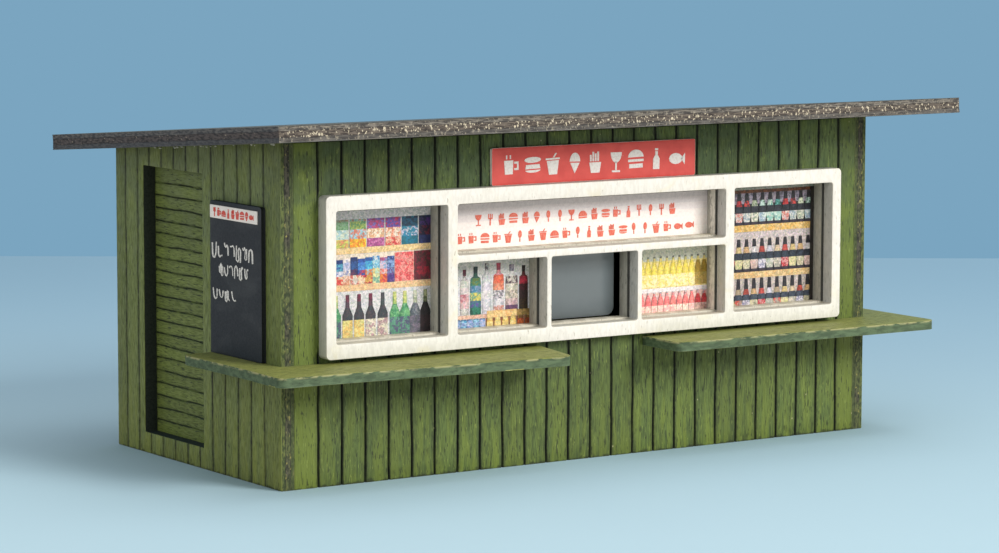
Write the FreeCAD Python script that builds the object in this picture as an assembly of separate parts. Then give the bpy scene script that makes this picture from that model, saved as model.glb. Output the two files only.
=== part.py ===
import FreeCAD, Part
import math
import os

# Snack kiosk, a plywood railway model at 1:87. All lengths are in millimetres.
# +X runs to the right along the serving front, +Y to the back and +Z up.
# The origin is on the ground under the middle of the roof's outline.

# Thickness of each sheet, card and film
WALL_SHEET = 1.5
ROOF_SHEET = 1.6
FRAME_SHEET = 1.5
COUNTER_SHEET = 1.0
DOOR_SHEET = 1.0
SIGN_CARD = 0.4
BOARD_CARD = 0.5
STRIP_CARD = 0.15
PRINT_CARD = 0.3
HATCH_FILM = 0.25

# Walls: the long ones stand between the side walls, whose ends show at the corners
PLANK_PITCH = 2.7
PLANK_COUNT = 26
LAST_PLANK = 2.29
WALL_DEPTH = 34.2
SIDE_PLANK_PITCH = 2.62
SIDE_FIRST_PLANK = 3.24
GROOVE_WIDTH = 0.32
GROOVE_DEPTH = 0.3
GROOVE_TUCK = 0.5

# Roof: one sheet that falls to the back, with its overhangs measured along the sheet
ROOF_FALL_DEG = 4.45
ROOF_LEFT_OVERHANG = 5.1
ROOF_RIGHT_OVERHANG = 5.78
ROOF_FRONT_OVERHANG = 8.7
ROOF_BACK_OVERHANG = 4.5

# Counters: one L of sheet at each front corner, its run measured from that corner
COUNTER_TOP = 12.25
COUNTER_FRONT_REACH = 6.5
COUNTER_CORNER = 0.9
LEFT_COUNTER_RUN = 30.05
LEFT_COUNTER_REACH = 3.8
RIGHT_COUNTER_RUN = 29.64
RIGHT_COUNTER_REACH = 4.7

# Window frame: a wide bay at each end, three low bays and a long panel between them
FRAME_LIFT = 0.45
FRAME_LEFT_MARGIN = 4.25
FRAME_RIGHT_MARGIN = 4.54
FRAME_CORNER = 0.5
STILE = 1.15
MULLION = 1.15
GLAZING_BAR = 0.55
TOP_RAIL = 1.5
BOTTOM_RAIL = 1.45
TRANSOM = 0.75
LEFT_BAY_WIDTH = 12.9
RIGHT_BAY_WIDTH = 13.15
LOW_BAY_HEIGHT = 7.2
PANEL_HEIGHT = 5.1
BAY_CORNER = 0.25
WALL_LIP = 0.2

# Printed cards and hatch film, glued behind the front wall
CARD_GAP = 0.15
HATCH_SHORTFALL = 1.2
HATCH_CORNER = 0.9
HATCH_SILL_GAP = 0.1

# Sign over the frame
SIGN_WIDTH = 25.4
SIGN_HEIGHT = 3.8
SIGN_OFFSET = 0.17
EAVES_GAP = 1.5

# Door in the left wall, and the menu board that stands on the left counter
DOOR_FRONT_MARGIN = 15.6
DOOR_BACK_MARGIN = 6.0
DOOR_SILL = 2.15
DOOR_HEAD = 1.9
DOOR_LAP = 1.2
DOOR_FIRST_SLAT = 1.2
DOOR_SLAT_PITCH = 1.302
BOARD_FRONT_MARGIN = 2.8
BOARD_DOOR_GAP = 2.5
BOARD_HEIGHT = 15.3
STRIP_HEIGHT = 1.3
STRIP_TOP_MARGIN = 0.45
STRIP_FRONT_MARGIN = 0.65
STRIP_BACK_MARGIN = 0.2

# Places that follow from the sizes above
FALL = math.radians(ROOF_FALL_DEG)
WALL_LENGTH = (PLANK_COUNT - 1) * PLANK_PITCH + LAST_PLANK + 2 * WALL_SHEET
ROOF_WIDTH = ROOF_LEFT_OVERHANG + WALL_LENGTH + ROOF_RIGHT_OVERHANG
LEFT = ROOF_LEFT_OVERHANG - ROOF_WIDTH / 2
RIGHT = LEFT + WALL_LENGTH
ROOF_RUN = WALL_DEPTH / math.cos(FALL)
EAVES_REACH = ROOF_FRONT_OVERHANG * math.cos(FALL)
REAR_REACH = (ROOF_RUN + ROOF_BACK_OVERHANG) * math.cos(FALL) + ROOF_SHEET * math.sin(FALL)
FRONT = (EAVES_REACH - REAR_REACH) / 2
BACK = FRONT + WALL_DEPTH

FRAME_BOTTOM = COUNTER_TOP + FRAME_LIFT
LOW_BAY_BOTTOM = FRAME_BOTTOM + BOTTOM_RAIL
LOW_BAY_TOP = LOW_BAY_BOTTOM + LOW_BAY_HEIGHT
PANEL_BOTTOM = LOW_BAY_TOP + TRANSOM
PANEL_TOP = PANEL_BOTTOM + PANEL_HEIGHT
FRAME_TOP = PANEL_TOP + TOP_RAIL
FRAME_LEFT = LEFT + FRAME_LEFT_MARGIN
FRAME_RIGHT = RIGHT - FRAME_RIGHT_MARGIN
SIGN_TOP = FRAME_TOP + SIGN_HEIGHT
FRONT_HEIGHT = SIGN_TOP + EAVES_GAP

BOARD_FRONT = FRONT + BOARD_FRONT_MARGIN
DOOR_FRONT = FRONT + DOOR_FRONT_MARGIN
DOOR_BACK = BACK - DOOR_BACK_MARGIN
BOARD_BACK = DOOR_FRONT - BOARD_DOOR_GAP
CARD_LAP = (GLAZING_BAR + 2 * WALL_LIP - CARD_GAP) / 2


def eaves_height(y):
    """Return the height of the roof's underside at y."""
    return FRONT_HEIGHT - (y - FRONT) * math.tan(FALL)


DOOR_TOP = eaves_height(DOOR_BACK) - DOOR_HEAD


def block(x_span, y_span, z_span):
    """Return a rectangular block between the two ends of each span."""
    size = [span[1] - span[0] for span in (x_span, y_span, z_span)]
    corner = FreeCAD.Vector(x_span[0], y_span[0], z_span[0])
    return Part.makeBox(*size, corner)


def rounding(before, corner, after, radius):
    """Return the start, middle and end of the arc that rounds a corner."""
    back_along = (before - corner).normalize()
    on_along = (after - corner).normalize()
    half_angle = back_along.getAngle(on_along) / 2
    reach = radius / math.tan(half_angle)
    inward = (back_along + on_along).normalize()
    centre = corner + inward * (radius / math.sin(half_angle))
    return corner + back_along * reach, centre - inward * radius, corner + on_along * reach


def cut_sheet(corners, radii, thickness):
    """Return a flat sheet with the given corners, each rounded, made thick along a vector."""
    stations = []
    for index, (corner, radius) in enumerate(zip(corners, radii)):
        if radius:
            after = corners[(index + 1) % len(corners)]
            stations.append(rounding(corners[index - 1], corner, after, radius))
        else:
            stations.append((corner,))
    edges = []
    for index, station in enumerate(stations):
        if len(station) > 1:
            edges.append(Part.Arc(*station).toShape())
        following = stations[(index + 1) % len(stations)]
        edges.append(Part.LineSegment(station[-1], following[0]).toShape())
    return Part.Face(Part.Wire(edges)).extrude(thickness)


def upright_sheet(x_span, z_span, radii, y, thickness):
    """Return a sheet that faces the front, from y to y + thickness, with rounded corners."""
    corners = [
        FreeCAD.Vector(x_span[0], y, z_span[0]),
        FreeCAD.Vector(x_span[1], y, z_span[0]),
        FreeCAD.Vector(x_span[1], y, z_span[1]),
        FreeCAD.Vector(x_span[0], y, z_span[1]),
    ]
    return cut_sheet(corners, radii, FreeCAD.Vector(0, thickness, 0))


def groove(mouth, across, inward, length):
    """Return the wedge that engraves a groove, whose middle line starts at mouth on the face.

    It stands out of the face by the groove's depth and is twice the groove's width there.
    """
    outside = mouth - inward * GROOVE_DEPTH
    reach = across * GROOVE_WIDTH
    corners = [outside + reach, outside - reach, mouth + inward * GROOVE_DEPTH]
    return cut_sheet(corners, [0, 0, 0], length)


def bays():
    """Return the openings of the window frame, each a name with its X span and Z span."""
    panel_left = FRAME_LEFT + STILE + LEFT_BAY_WIDTH + MULLION
    panel_right = FRAME_RIGHT - STILE - RIGHT_BAY_WIDTH - MULLION
    low_bay_width = (panel_right - panel_left - 2 * GLAZING_BAR) / 3
    tall = (LOW_BAY_BOTTOM, PANEL_TOP)
    low = (LOW_BAY_BOTTOM, LOW_BAY_TOP)
    openings = {
        "left_display": ((FRAME_LEFT + STILE, panel_left - MULLION), tall),
        "panel": ((panel_left, panel_right), (PANEL_BOTTOM, PANEL_TOP)),
        "right_display": ((panel_right + MULLION, FRAME_RIGHT - STILE), tall),
    }
    for place, name in enumerate(("bottle_display", "hatch", "drinks_display")):
        start = panel_left + place * (low_bay_width + GLAZING_BAR)
        openings[name] = ((start, start + low_bay_width), low)
    return openings


def widened(span, lap):
    """Return a span made longer by lap at both ends, or shorter where lap is negative."""
    return (span[0] - lap, span[1] + lap)


def engraved_long_wall(face, inward, breaks):
    """Return a long wall with one groove between each two planks on its outer face.

    face is the outer face's Y, inward is +1 or -1 along Y, and breaks are the Z spans
    where the grooves run.
    """
    inner_face = face + inward * WALL_SHEET
    y_span = (min(face, inner_face), max(face, inner_face))
    top = min(eaves_height(face), eaves_height(inner_face))
    wall = block((LEFT + WALL_SHEET, RIGHT - WALL_SHEET), y_span, (0, top))
    across = FreeCAD.Vector(1, 0, 0)
    depth = FreeCAD.Vector(0, inward, 0)
    wedges = []
    for plank in range(1, PLANK_COUNT):
        x = LEFT + WALL_SHEET + plank * PLANK_PITCH
        for start, end in breaks:
            mouth = FreeCAD.Vector(x, face, start)
            wedges.append(groove(mouth, across, depth, FreeCAD.Vector(0, 0, end - start)))
    return wall.cut(Part.makeCompound(wedges))


def engraved_side_wall(face, inward):
    """Return a side wall under the falling roof, with its planks engraved on the outer face."""
    corners = [
        FreeCAD.Vector(face, FRONT, 0),
        FreeCAD.Vector(face, BACK, 0),
        FreeCAD.Vector(face, BACK, eaves_height(BACK)),
        FreeCAD.Vector(face, FRONT, FRONT_HEIGHT),
    ]
    wall = cut_sheet(corners, [0, 0, 0, 0], FreeCAD.Vector(inward * WALL_SHEET, 0, 0))
    across = FreeCAD.Vector(0, 1, 0)
    depth = FreeCAD.Vector(inward, 0, 0)
    wedges = []
    y = FRONT + SIDE_FIRST_PLANK
    while y < BACK - GROOVE_WIDTH:
        mouth = FreeCAD.Vector(face, y, 0)
        wedges.append(groove(mouth, across, depth, FreeCAD.Vector(0, 0, FRONT_HEIGHT)))
        y += SIDE_PLANK_PITCH
    return wall.cut(Part.makeCompound(wedges))


def front_wall():
    """Return the serving wall, engraved below and above the frame and cut out behind its bays."""
    below = (0, FRAME_BOTTOM + GROOVE_TUCK)
    above = (FRAME_TOP - GROOVE_TUCK, FRONT_HEIGHT)
    wall = engraved_long_wall(FRONT, 1, [below, above])
    y_span = widened((FRONT, FRONT + WALL_SHEET), GROOVE_DEPTH)
    openings = [
        block(widened(x_span, -WALL_LIP), y_span, widened(z_span, -WALL_LIP))
        for x_span, z_span in bays().values()
    ]
    return wall.cut(Part.makeCompound(openings))


def back_wall():
    """Return the plain back wall."""
    return engraved_long_wall(BACK, -1, [(0, FRONT_HEIGHT)])


def left_wall():
    """Return the left wall with the doorway cut out of it."""
    doorway = block(
        widened((LEFT, LEFT + WALL_SHEET), GROOVE_DEPTH),
        (DOOR_FRONT, DOOR_BACK),
        (DOOR_SILL, DOOR_TOP),
    )
    return engraved_side_wall(LEFT, 1).cut(doorway)


def right_wall():
    """Return the plain right wall."""
    return engraved_side_wall(RIGHT, -1)


def roof():
    """Return the roof sheet, square-edged and tilted to lie on the side walls."""
    length = ROOF_FRONT_OVERHANG + ROOF_RUN + ROOF_BACK_OVERHANG
    corner = FreeCAD.Vector(-ROOF_WIDTH / 2, -ROOF_FRONT_OVERHANG, 0)
    sheet = Part.makeBox(ROOF_WIDTH, length, ROOF_SHEET, corner)
    sheet.rotate(FreeCAD.Vector(0, 0, 0), FreeCAD.Vector(1, 0, 0), -ROOF_FALL_DEG)
    sheet.translate(FreeCAD.Vector(0, FRONT, FRONT_HEIGHT))
    return sheet


def window_frame():
    """Return the frame: one sheet on the face of the front wall, with six rounded bays."""
    face = FRONT - FRAME_SHEET
    x_span = (FRAME_LEFT, FRAME_RIGHT)
    frame = upright_sheet(x_span, (FRAME_BOTTOM, FRAME_TOP), [FRAME_CORNER] * 4, face, FRAME_SHEET)
    openings = [
        upright_sheet(bay_x, bay_z, [BAY_CORNER] * 4, face, FRAME_SHEET)
        for bay_x, bay_z in bays().values()
    ]
    return frame.cut(Part.makeCompound(openings))


def door_leaf():
    """Return the slatted door sheet, glued on the inner face of the left wall."""
    face = LEFT + WALL_SHEET
    sheet = block(
        (face, face + DOOR_SHEET),
        widened((DOOR_FRONT, DOOR_BACK), DOOR_LAP),
        (DOOR_SILL / 2, DOOR_TOP + DOOR_HEAD / 2),
    )
    across = FreeCAD.Vector(0, 0, 1)
    depth = FreeCAD.Vector(1, 0, 0)
    run = FreeCAD.Vector(0, DOOR_BACK - DOOR_FRONT, 0)
    wedges = []
    z = DOOR_SILL + DOOR_FIRST_SLAT
    while z < DOOR_TOP - DOOR_FIRST_SLAT:
        mouth = FreeCAD.Vector(face, DOOR_FRONT, z)
        wedges.append(groove(mouth, across, depth, run))
        z += DOOR_SLAT_PITCH
    return sheet.cut(Part.makeCompound(wedges))


def counter(wall_x, outward, run, reach):
    """Return the L-shaped counter round the front corner of the side wall at wall_x.

    outward is -1 on the left and +1 on the right. The counter runs along the front by run
    from the corner, and stands out of the side wall by reach.
    """
    outer_x = wall_x + outward * reach
    inner_x = wall_x - outward * run
    outer_y = FRONT - COUNTER_FRONT_REACH
    underside = COUNTER_TOP - COUNTER_SHEET
    plan = [
        (wall_x, BOARD_BACK, 0),
        (outer_x, BOARD_BACK, COUNTER_CORNER),
        (outer_x, outer_y, COUNTER_CORNER),
        (inner_x, outer_y, COUNTER_CORNER),
        (inner_x, FRONT, 0),
        (wall_x, FRONT, 0),
    ]
    corners = [FreeCAD.Vector(x, y, underside) for x, y, _ in plan]
    radii = [radius for _, _, radius in plan]
    return cut_sheet(corners, radii, FreeCAD.Vector(0, 0, COUNTER_SHEET))


def sign_board():
    """Return the sign, glued to the front wall with its foot on the window frame."""
    x_span = (SIGN_OFFSET - SIGN_WIDTH / 2, SIGN_OFFSET + SIGN_WIDTH / 2)
    return block(x_span, (FRONT - SIGN_CARD, FRONT), (FRAME_TOP, SIGN_TOP))


def menu_board():
    """Return the black board on the left wall, standing on the left counter."""
    y_span = (BOARD_FRONT, BOARD_BACK)
    return block((LEFT - BOARD_CARD, LEFT), y_span, (COUNTER_TOP, COUNTER_TOP + BOARD_HEIGHT))


def menu_strip():
    """Return the printed strip across the head of the menu board."""
    face = LEFT - BOARD_CARD
    top = COUNTER_TOP + BOARD_HEIGHT - STRIP_TOP_MARGIN
    y_span = (BOARD_FRONT + STRIP_FRONT_MARGIN, BOARD_BACK - STRIP_BACK_MARGIN)
    return block((face - STRIP_CARD, face), y_span, (top - STRIP_HEIGHT, top))


def display_card(bay):
    """Return the printed card that closes one bay from behind the front wall."""
    lap = CARD_LAP - WALL_LIP
    back = FRONT + WALL_SHEET
    return block(widened(bay[0], lap), (back, back + PRINT_CARD), widened(bay[1], lap))


def hatch_pane(bay):
    """Return the film behind the hatch, which stops short of the bay's right edge."""
    lap = CARD_LAP - WALL_LIP
    x_span = (bay[0][0] - lap, bay[0][1] - WALL_LIP - HATCH_SHORTFALL)
    z_span = (bay[1][0] + WALL_LIP + HATCH_SILL_GAP, bay[1][1] + lap)
    return upright_sheet(x_span, z_span, [0, HATCH_CORNER, 0, 0], FRONT + WALL_SHEET, HATCH_FILM)


def build():
    """Return every piece of the kiosk by its name."""
    openings = bays()
    pieces = {
        "front_wall": front_wall(),
        "back_wall": back_wall(),
        "left_wall": left_wall(),
        "right_wall": right_wall(),
        "roof": roof(),
        "window_frame": window_frame(),
        "door_leaf": door_leaf(),
        "left_counter": counter(LEFT, -1, LEFT_COUNTER_RUN, LEFT_COUNTER_REACH),
        "right_counter": counter(RIGHT, 1, RIGHT_COUNTER_RUN, RIGHT_COUNTER_REACH),
        "sign_board": sign_board(),
        "menu_board": menu_board(),
        "menu_strip": menu_strip(),
        "hatch_pane": hatch_pane(openings.pop("hatch")),
    }
    for name, bay in openings.items():
        pieces[name + "_card"] = display_card(bay)
    return pieces


def main():
    """Write each piece to its own file and print its volume and its box."""
    os.makedirs("parts", exist_ok=True)
    for name, piece in build().items():
        piece.exportStep("parts/" + name + ".step")
        print(name, piece.isValid(), len(piece.Solids), round(piece.Volume, 2), piece.BoundBox)


main()
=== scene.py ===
"""Looks of a plywood model kiosk: plank walls, roof, counters, window frame, boards and printed goods."""

import logging
import math
import random
from collections.abc import Callable, Iterable, Sequence
from dataclasses import dataclass, field
from enum import Enum

import bpy
from mathutils import Matrix, Vector, noise


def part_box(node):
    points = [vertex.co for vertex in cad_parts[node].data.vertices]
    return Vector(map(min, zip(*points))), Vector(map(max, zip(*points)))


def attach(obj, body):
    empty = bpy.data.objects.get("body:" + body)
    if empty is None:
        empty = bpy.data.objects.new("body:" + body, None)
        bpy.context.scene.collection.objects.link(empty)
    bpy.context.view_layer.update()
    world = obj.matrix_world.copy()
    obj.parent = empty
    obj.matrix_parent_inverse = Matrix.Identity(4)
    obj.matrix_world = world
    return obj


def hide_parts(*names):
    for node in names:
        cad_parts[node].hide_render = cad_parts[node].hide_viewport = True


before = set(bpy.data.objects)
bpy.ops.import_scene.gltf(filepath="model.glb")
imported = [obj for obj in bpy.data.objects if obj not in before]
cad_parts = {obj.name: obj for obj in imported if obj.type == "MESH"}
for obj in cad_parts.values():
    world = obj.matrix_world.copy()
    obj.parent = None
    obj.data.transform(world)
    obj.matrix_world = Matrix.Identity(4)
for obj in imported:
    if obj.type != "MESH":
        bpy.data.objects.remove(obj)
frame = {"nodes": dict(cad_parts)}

LOG = logging.getLogger("kiosk")
MM = 0.001
NEAR = 0.004

Colour = tuple[float, float, float, float]
Point = tuple[float, float]
Shape = tuple[Point, ...]
Point3 = tuple[float, float, float]

Piece = bpy.types.Object
Face = bpy.types.MeshPolygon
Socket = bpy.types.NodeSocket
Taken = bpy.types.NodeOutputs
Given = tuple[Socket, ...]

TO_METRES = Matrix.Diagonal((MM, MM, MM, 1))
FALL = math.radians(4.45)
INKS = ("print", "accent")
FLAT_ZONES = ("label", "face", "lower", "motif", "upper", "head", "crimp")


def tint(code: str) -> Colour:
    """Return a colour in linear light.

    Args:
        code: the colour as six hexadecimal sRGB digits.

    Returns:
        Red, green, blue and a full alpha.
    """
    parts = [int(code[place:place + 2], 16) / 255 for place in (0, 2, 4)]
    light = [part / 12.92 if part <= 0.04045 else ((part + 0.055) / 1.055) ** 2.4 for part in parts]
    return (*light, 1.0)


def shaded(colour: Colour, strength: float) -> Colour:
    """Return a colour made lighter or darker by a factor."""
    return (*(part * strength for part in colour[:3]), 1.0)


def two_inks(pair: str) -> tuple[Colour, Colour]:
    """Return a print's two inks from one colour code, or from two with a slash between."""
    first, _, second = pair.partition("/")
    return tint(first), tint(second or first)


class Facing(Enum):
    """Which way a sheet's face looks once it stands: where the bench's X, Y and Z axes go."""

    FRONT = ((1, 0, 0), (0, 0, 1), (0, -1, 0))
    BACK = ((-1, 0, 0), (0, 0, 1), (0, 1, 0))
    LEFT = ((0, -1, 0), (0, 0, 1), (-1, 0, 0))
    RIGHT = ((0, 1, 0), (0, 0, 1), (1, 0, 0))
    UP = ((1, 0, 0), (0, 1, 0), (0, 0, 1))

    def placing(self, level: float) -> Matrix:
        """Return what takes the bench to this facing, its face at a level of the axis that it looks along."""
        origin = Vector([abs(part) for part in self.value[2]]) * level * MM
        return Matrix.Translation(origin) @ Matrix(self.value).transposed().to_4x4() @ TO_METRES


class Run(Enum):
    """Which bench axis a groove runs along, by its number."""

    UP = 1
    ACROSS = 0


@dataclass(frozen=True)
class Area:
    """A rectangle on the bench, in millimetres."""

    left: float
    right: float
    foot: float
    head: float

    def holds(self, x: float, y: float) -> bool:
        """Return whether a point lies inside."""
        return self.left < x < self.right and self.foot < y < self.head

    def shrunk(self, margin: float) -> "Area":
        """Return the area with a margin taken off all round."""
        return Area(self.left + margin, self.right - margin, self.foot + margin, self.head - margin)

    def corners(self) -> list[Point]:
        """Return the four corners."""
        return [(x, y) for x in (self.left, self.right) for y in (self.foot, self.head)]

    def inset_of(self, x: float, y: float) -> float:
        """Return how far a point lies inside the nearest side."""
        return min(x - self.left, self.right - x, y - self.foot, self.head - y)


@dataclass(frozen=True)
class NodeBox:
    """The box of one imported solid, in millimetres."""

    low: Vector
    high: Vector

    @property
    def size(self) -> Vector:
        """The box's size."""
        return self.high - self.low

    @classmethod
    def of(cls, node: str) -> "NodeBox":
        """Return the box of a node of the frame."""
        low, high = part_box(node)
        return cls(low / MM, high / MM)

    def front_area(self) -> Area:
        """Return the box as seen from the front: bench X is X and bench Y is Z."""
        return Area(self.low.x, self.high.x, self.low.z, self.high.z)

    def left_area(self) -> Area:
        """Return the box as seen from the left: bench X is minus Y and bench Y is Z."""
        return Area(-self.high.y, -self.low.y, self.low.z, self.high.z)


def packed(node: str) -> NodeBox:
    """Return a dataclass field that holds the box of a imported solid."""
    return field(default_factory=lambda: NodeBox.of(node))


@dataclass(frozen=True)
class Groove:
    """One engraved line on a sheet's face, in millimetres on the bench."""

    at: float
    run: Run = Run.UP
    breaks: tuple[Point, ...] = ((-1e3, 1e3),)

    def reaches(self, point: Vector, reach: float) -> bool:
        """Return whether a point lies no farther from the groove's line than a reach."""
        return abs(self.offset(point)) < reach

    def offset(self, point: Vector) -> float:
        """Return a point's distance across the groove."""
        return point[1 - self.run.value] - self.at

    def runs_at(self, point: Vector) -> bool:
        """Return whether the groove is cut at a point's station along it."""
        return any(start <= point[self.run.value] <= end for start, end in self.breaks)


class Editing:
    """Edit mode on one piece, for the length of a with block."""

    def __init__(self, piece: Piece, pick: str = "FACE") -> None:
        """Keep the piece and the kind of element that is picked."""
        self.piece = piece
        self.pick = pick

    def __enter__(self) -> Piece:
        """Enter edit mode with nothing else selected."""
        activate(self.piece)
        bpy.ops.object.mode_set(mode="EDIT")
        bpy.ops.mesh.select_mode(type=self.pick)
        return self.piece

    def __exit__(self, *_: object) -> None:
        """Go back to object mode."""
        bpy.ops.object.mode_set(mode="OBJECT")


def activate(piece: Piece) -> None:
    """Select one piece alone and make it active."""
    bpy.ops.object.select_all(action="DESELECT")
    piece.select_set(True)
    bpy.context.view_layer.objects.active = piece


def finish_with(piece: Piece, kind: str, **settings: object) -> None:
    """Add a modifier to a piece and apply it.

    Args:
        piece: the object that is shaped.
        kind: Blender's name of the modifier's type.
        settings: the modifier's values.
    """
    activate(piece)
    modifier = piece.modifiers.new(kind.lower(), kind)
    for name, value in settings.items():
        setattr(modifier, name, value)
    bpy.ops.object.modifier_apply(modifier=modifier.name)


def pick(piece: Piece, faces: Callable[[Face], bool] | None = None,
         edges: Callable[[Vector, Vector], bool] | None = None) -> None:
    """Select the faces that pass a test, or the edges whose two ends pass one, and nothing else."""
    mesh = piece.data
    for elements in (mesh.vertices, mesh.edges, mesh.polygons):
        elements.foreach_set("select", [False] * len(elements))
    for face in mesh.polygons if faces else ():
        face.select = faces(face)
    for edge in mesh.edges if edges else ():
        edge.select = edges(*(mesh.vertices[index].co for index in edge.vertices))


def added(operator: Callable[..., object], **settings: object) -> Piece:
    """Run an operator that adds an object, with nothing else selected, and return what it adds."""
    bpy.ops.object.select_all(action="DESELECT")
    operator(**settings)
    return bpy.context.active_object


def named(piece: Piece, name: str) -> Piece:
    """Return a piece after giving it and its data a name."""
    piece.name = name
    piece.data.name = name
    return piece


def spaced(start: float, pitch: float, count: int) -> list[float]:
    """Return evenly spaced places."""
    return [start + pitch * number for number in range(count)]


def join(pieces: Sequence[Piece], name: str) -> Piece:
    """Join pieces.

    Args:
        pieces: the objects, of which the first one stays.
        name: the name of what they become.

    Returns:
        The one object that is left.
    """
    activate(pieces[0])
    for piece in pieces[1:]:
        piece.select_set(True)
    if len(pieces) > 1:
        bpy.ops.object.join()
    return named(pieces[0], name)


def copy_of(piece: Piece) -> Piece:
    """Return a copy of a piece with its own mesh."""
    twin = piece.copy()
    twin.data = piece.data.copy()
    bpy.context.scene.collection.objects.link(twin)
    return twin


def place(piece: Piece, matrix: Matrix) -> Piece:
    """Put a piece where a matrix says and apply its place to the mesh."""
    activate(piece)
    piece.matrix_world = matrix
    bpy.ops.object.transform_apply(location=True, rotation=True, scale=True)
    return piece


def stand(piece: Piece, facing: Facing, level: float) -> Piece:
    """Take a piece from the bench to a facing and a level on the kiosk, and return it."""
    return place(piece, facing.placing(level))


def hand_in(piece: Piece, slot: str, *nodes: str) -> None:
    """Attach a finished piece to the kiosk's root body, hide its solids and report it.

    Args:
        piece: the object, which rides on the kiosk.
        slot: the slot of its material.
        nodes: the solids that it stands for.
    """
    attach(piece, "root")
    if nodes:
        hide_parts(*nodes)
    LOG.info("%s: %d faces, slot %s, for %s", piece.name, len(piece.data.polygons), slot, list(nodes))


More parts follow.
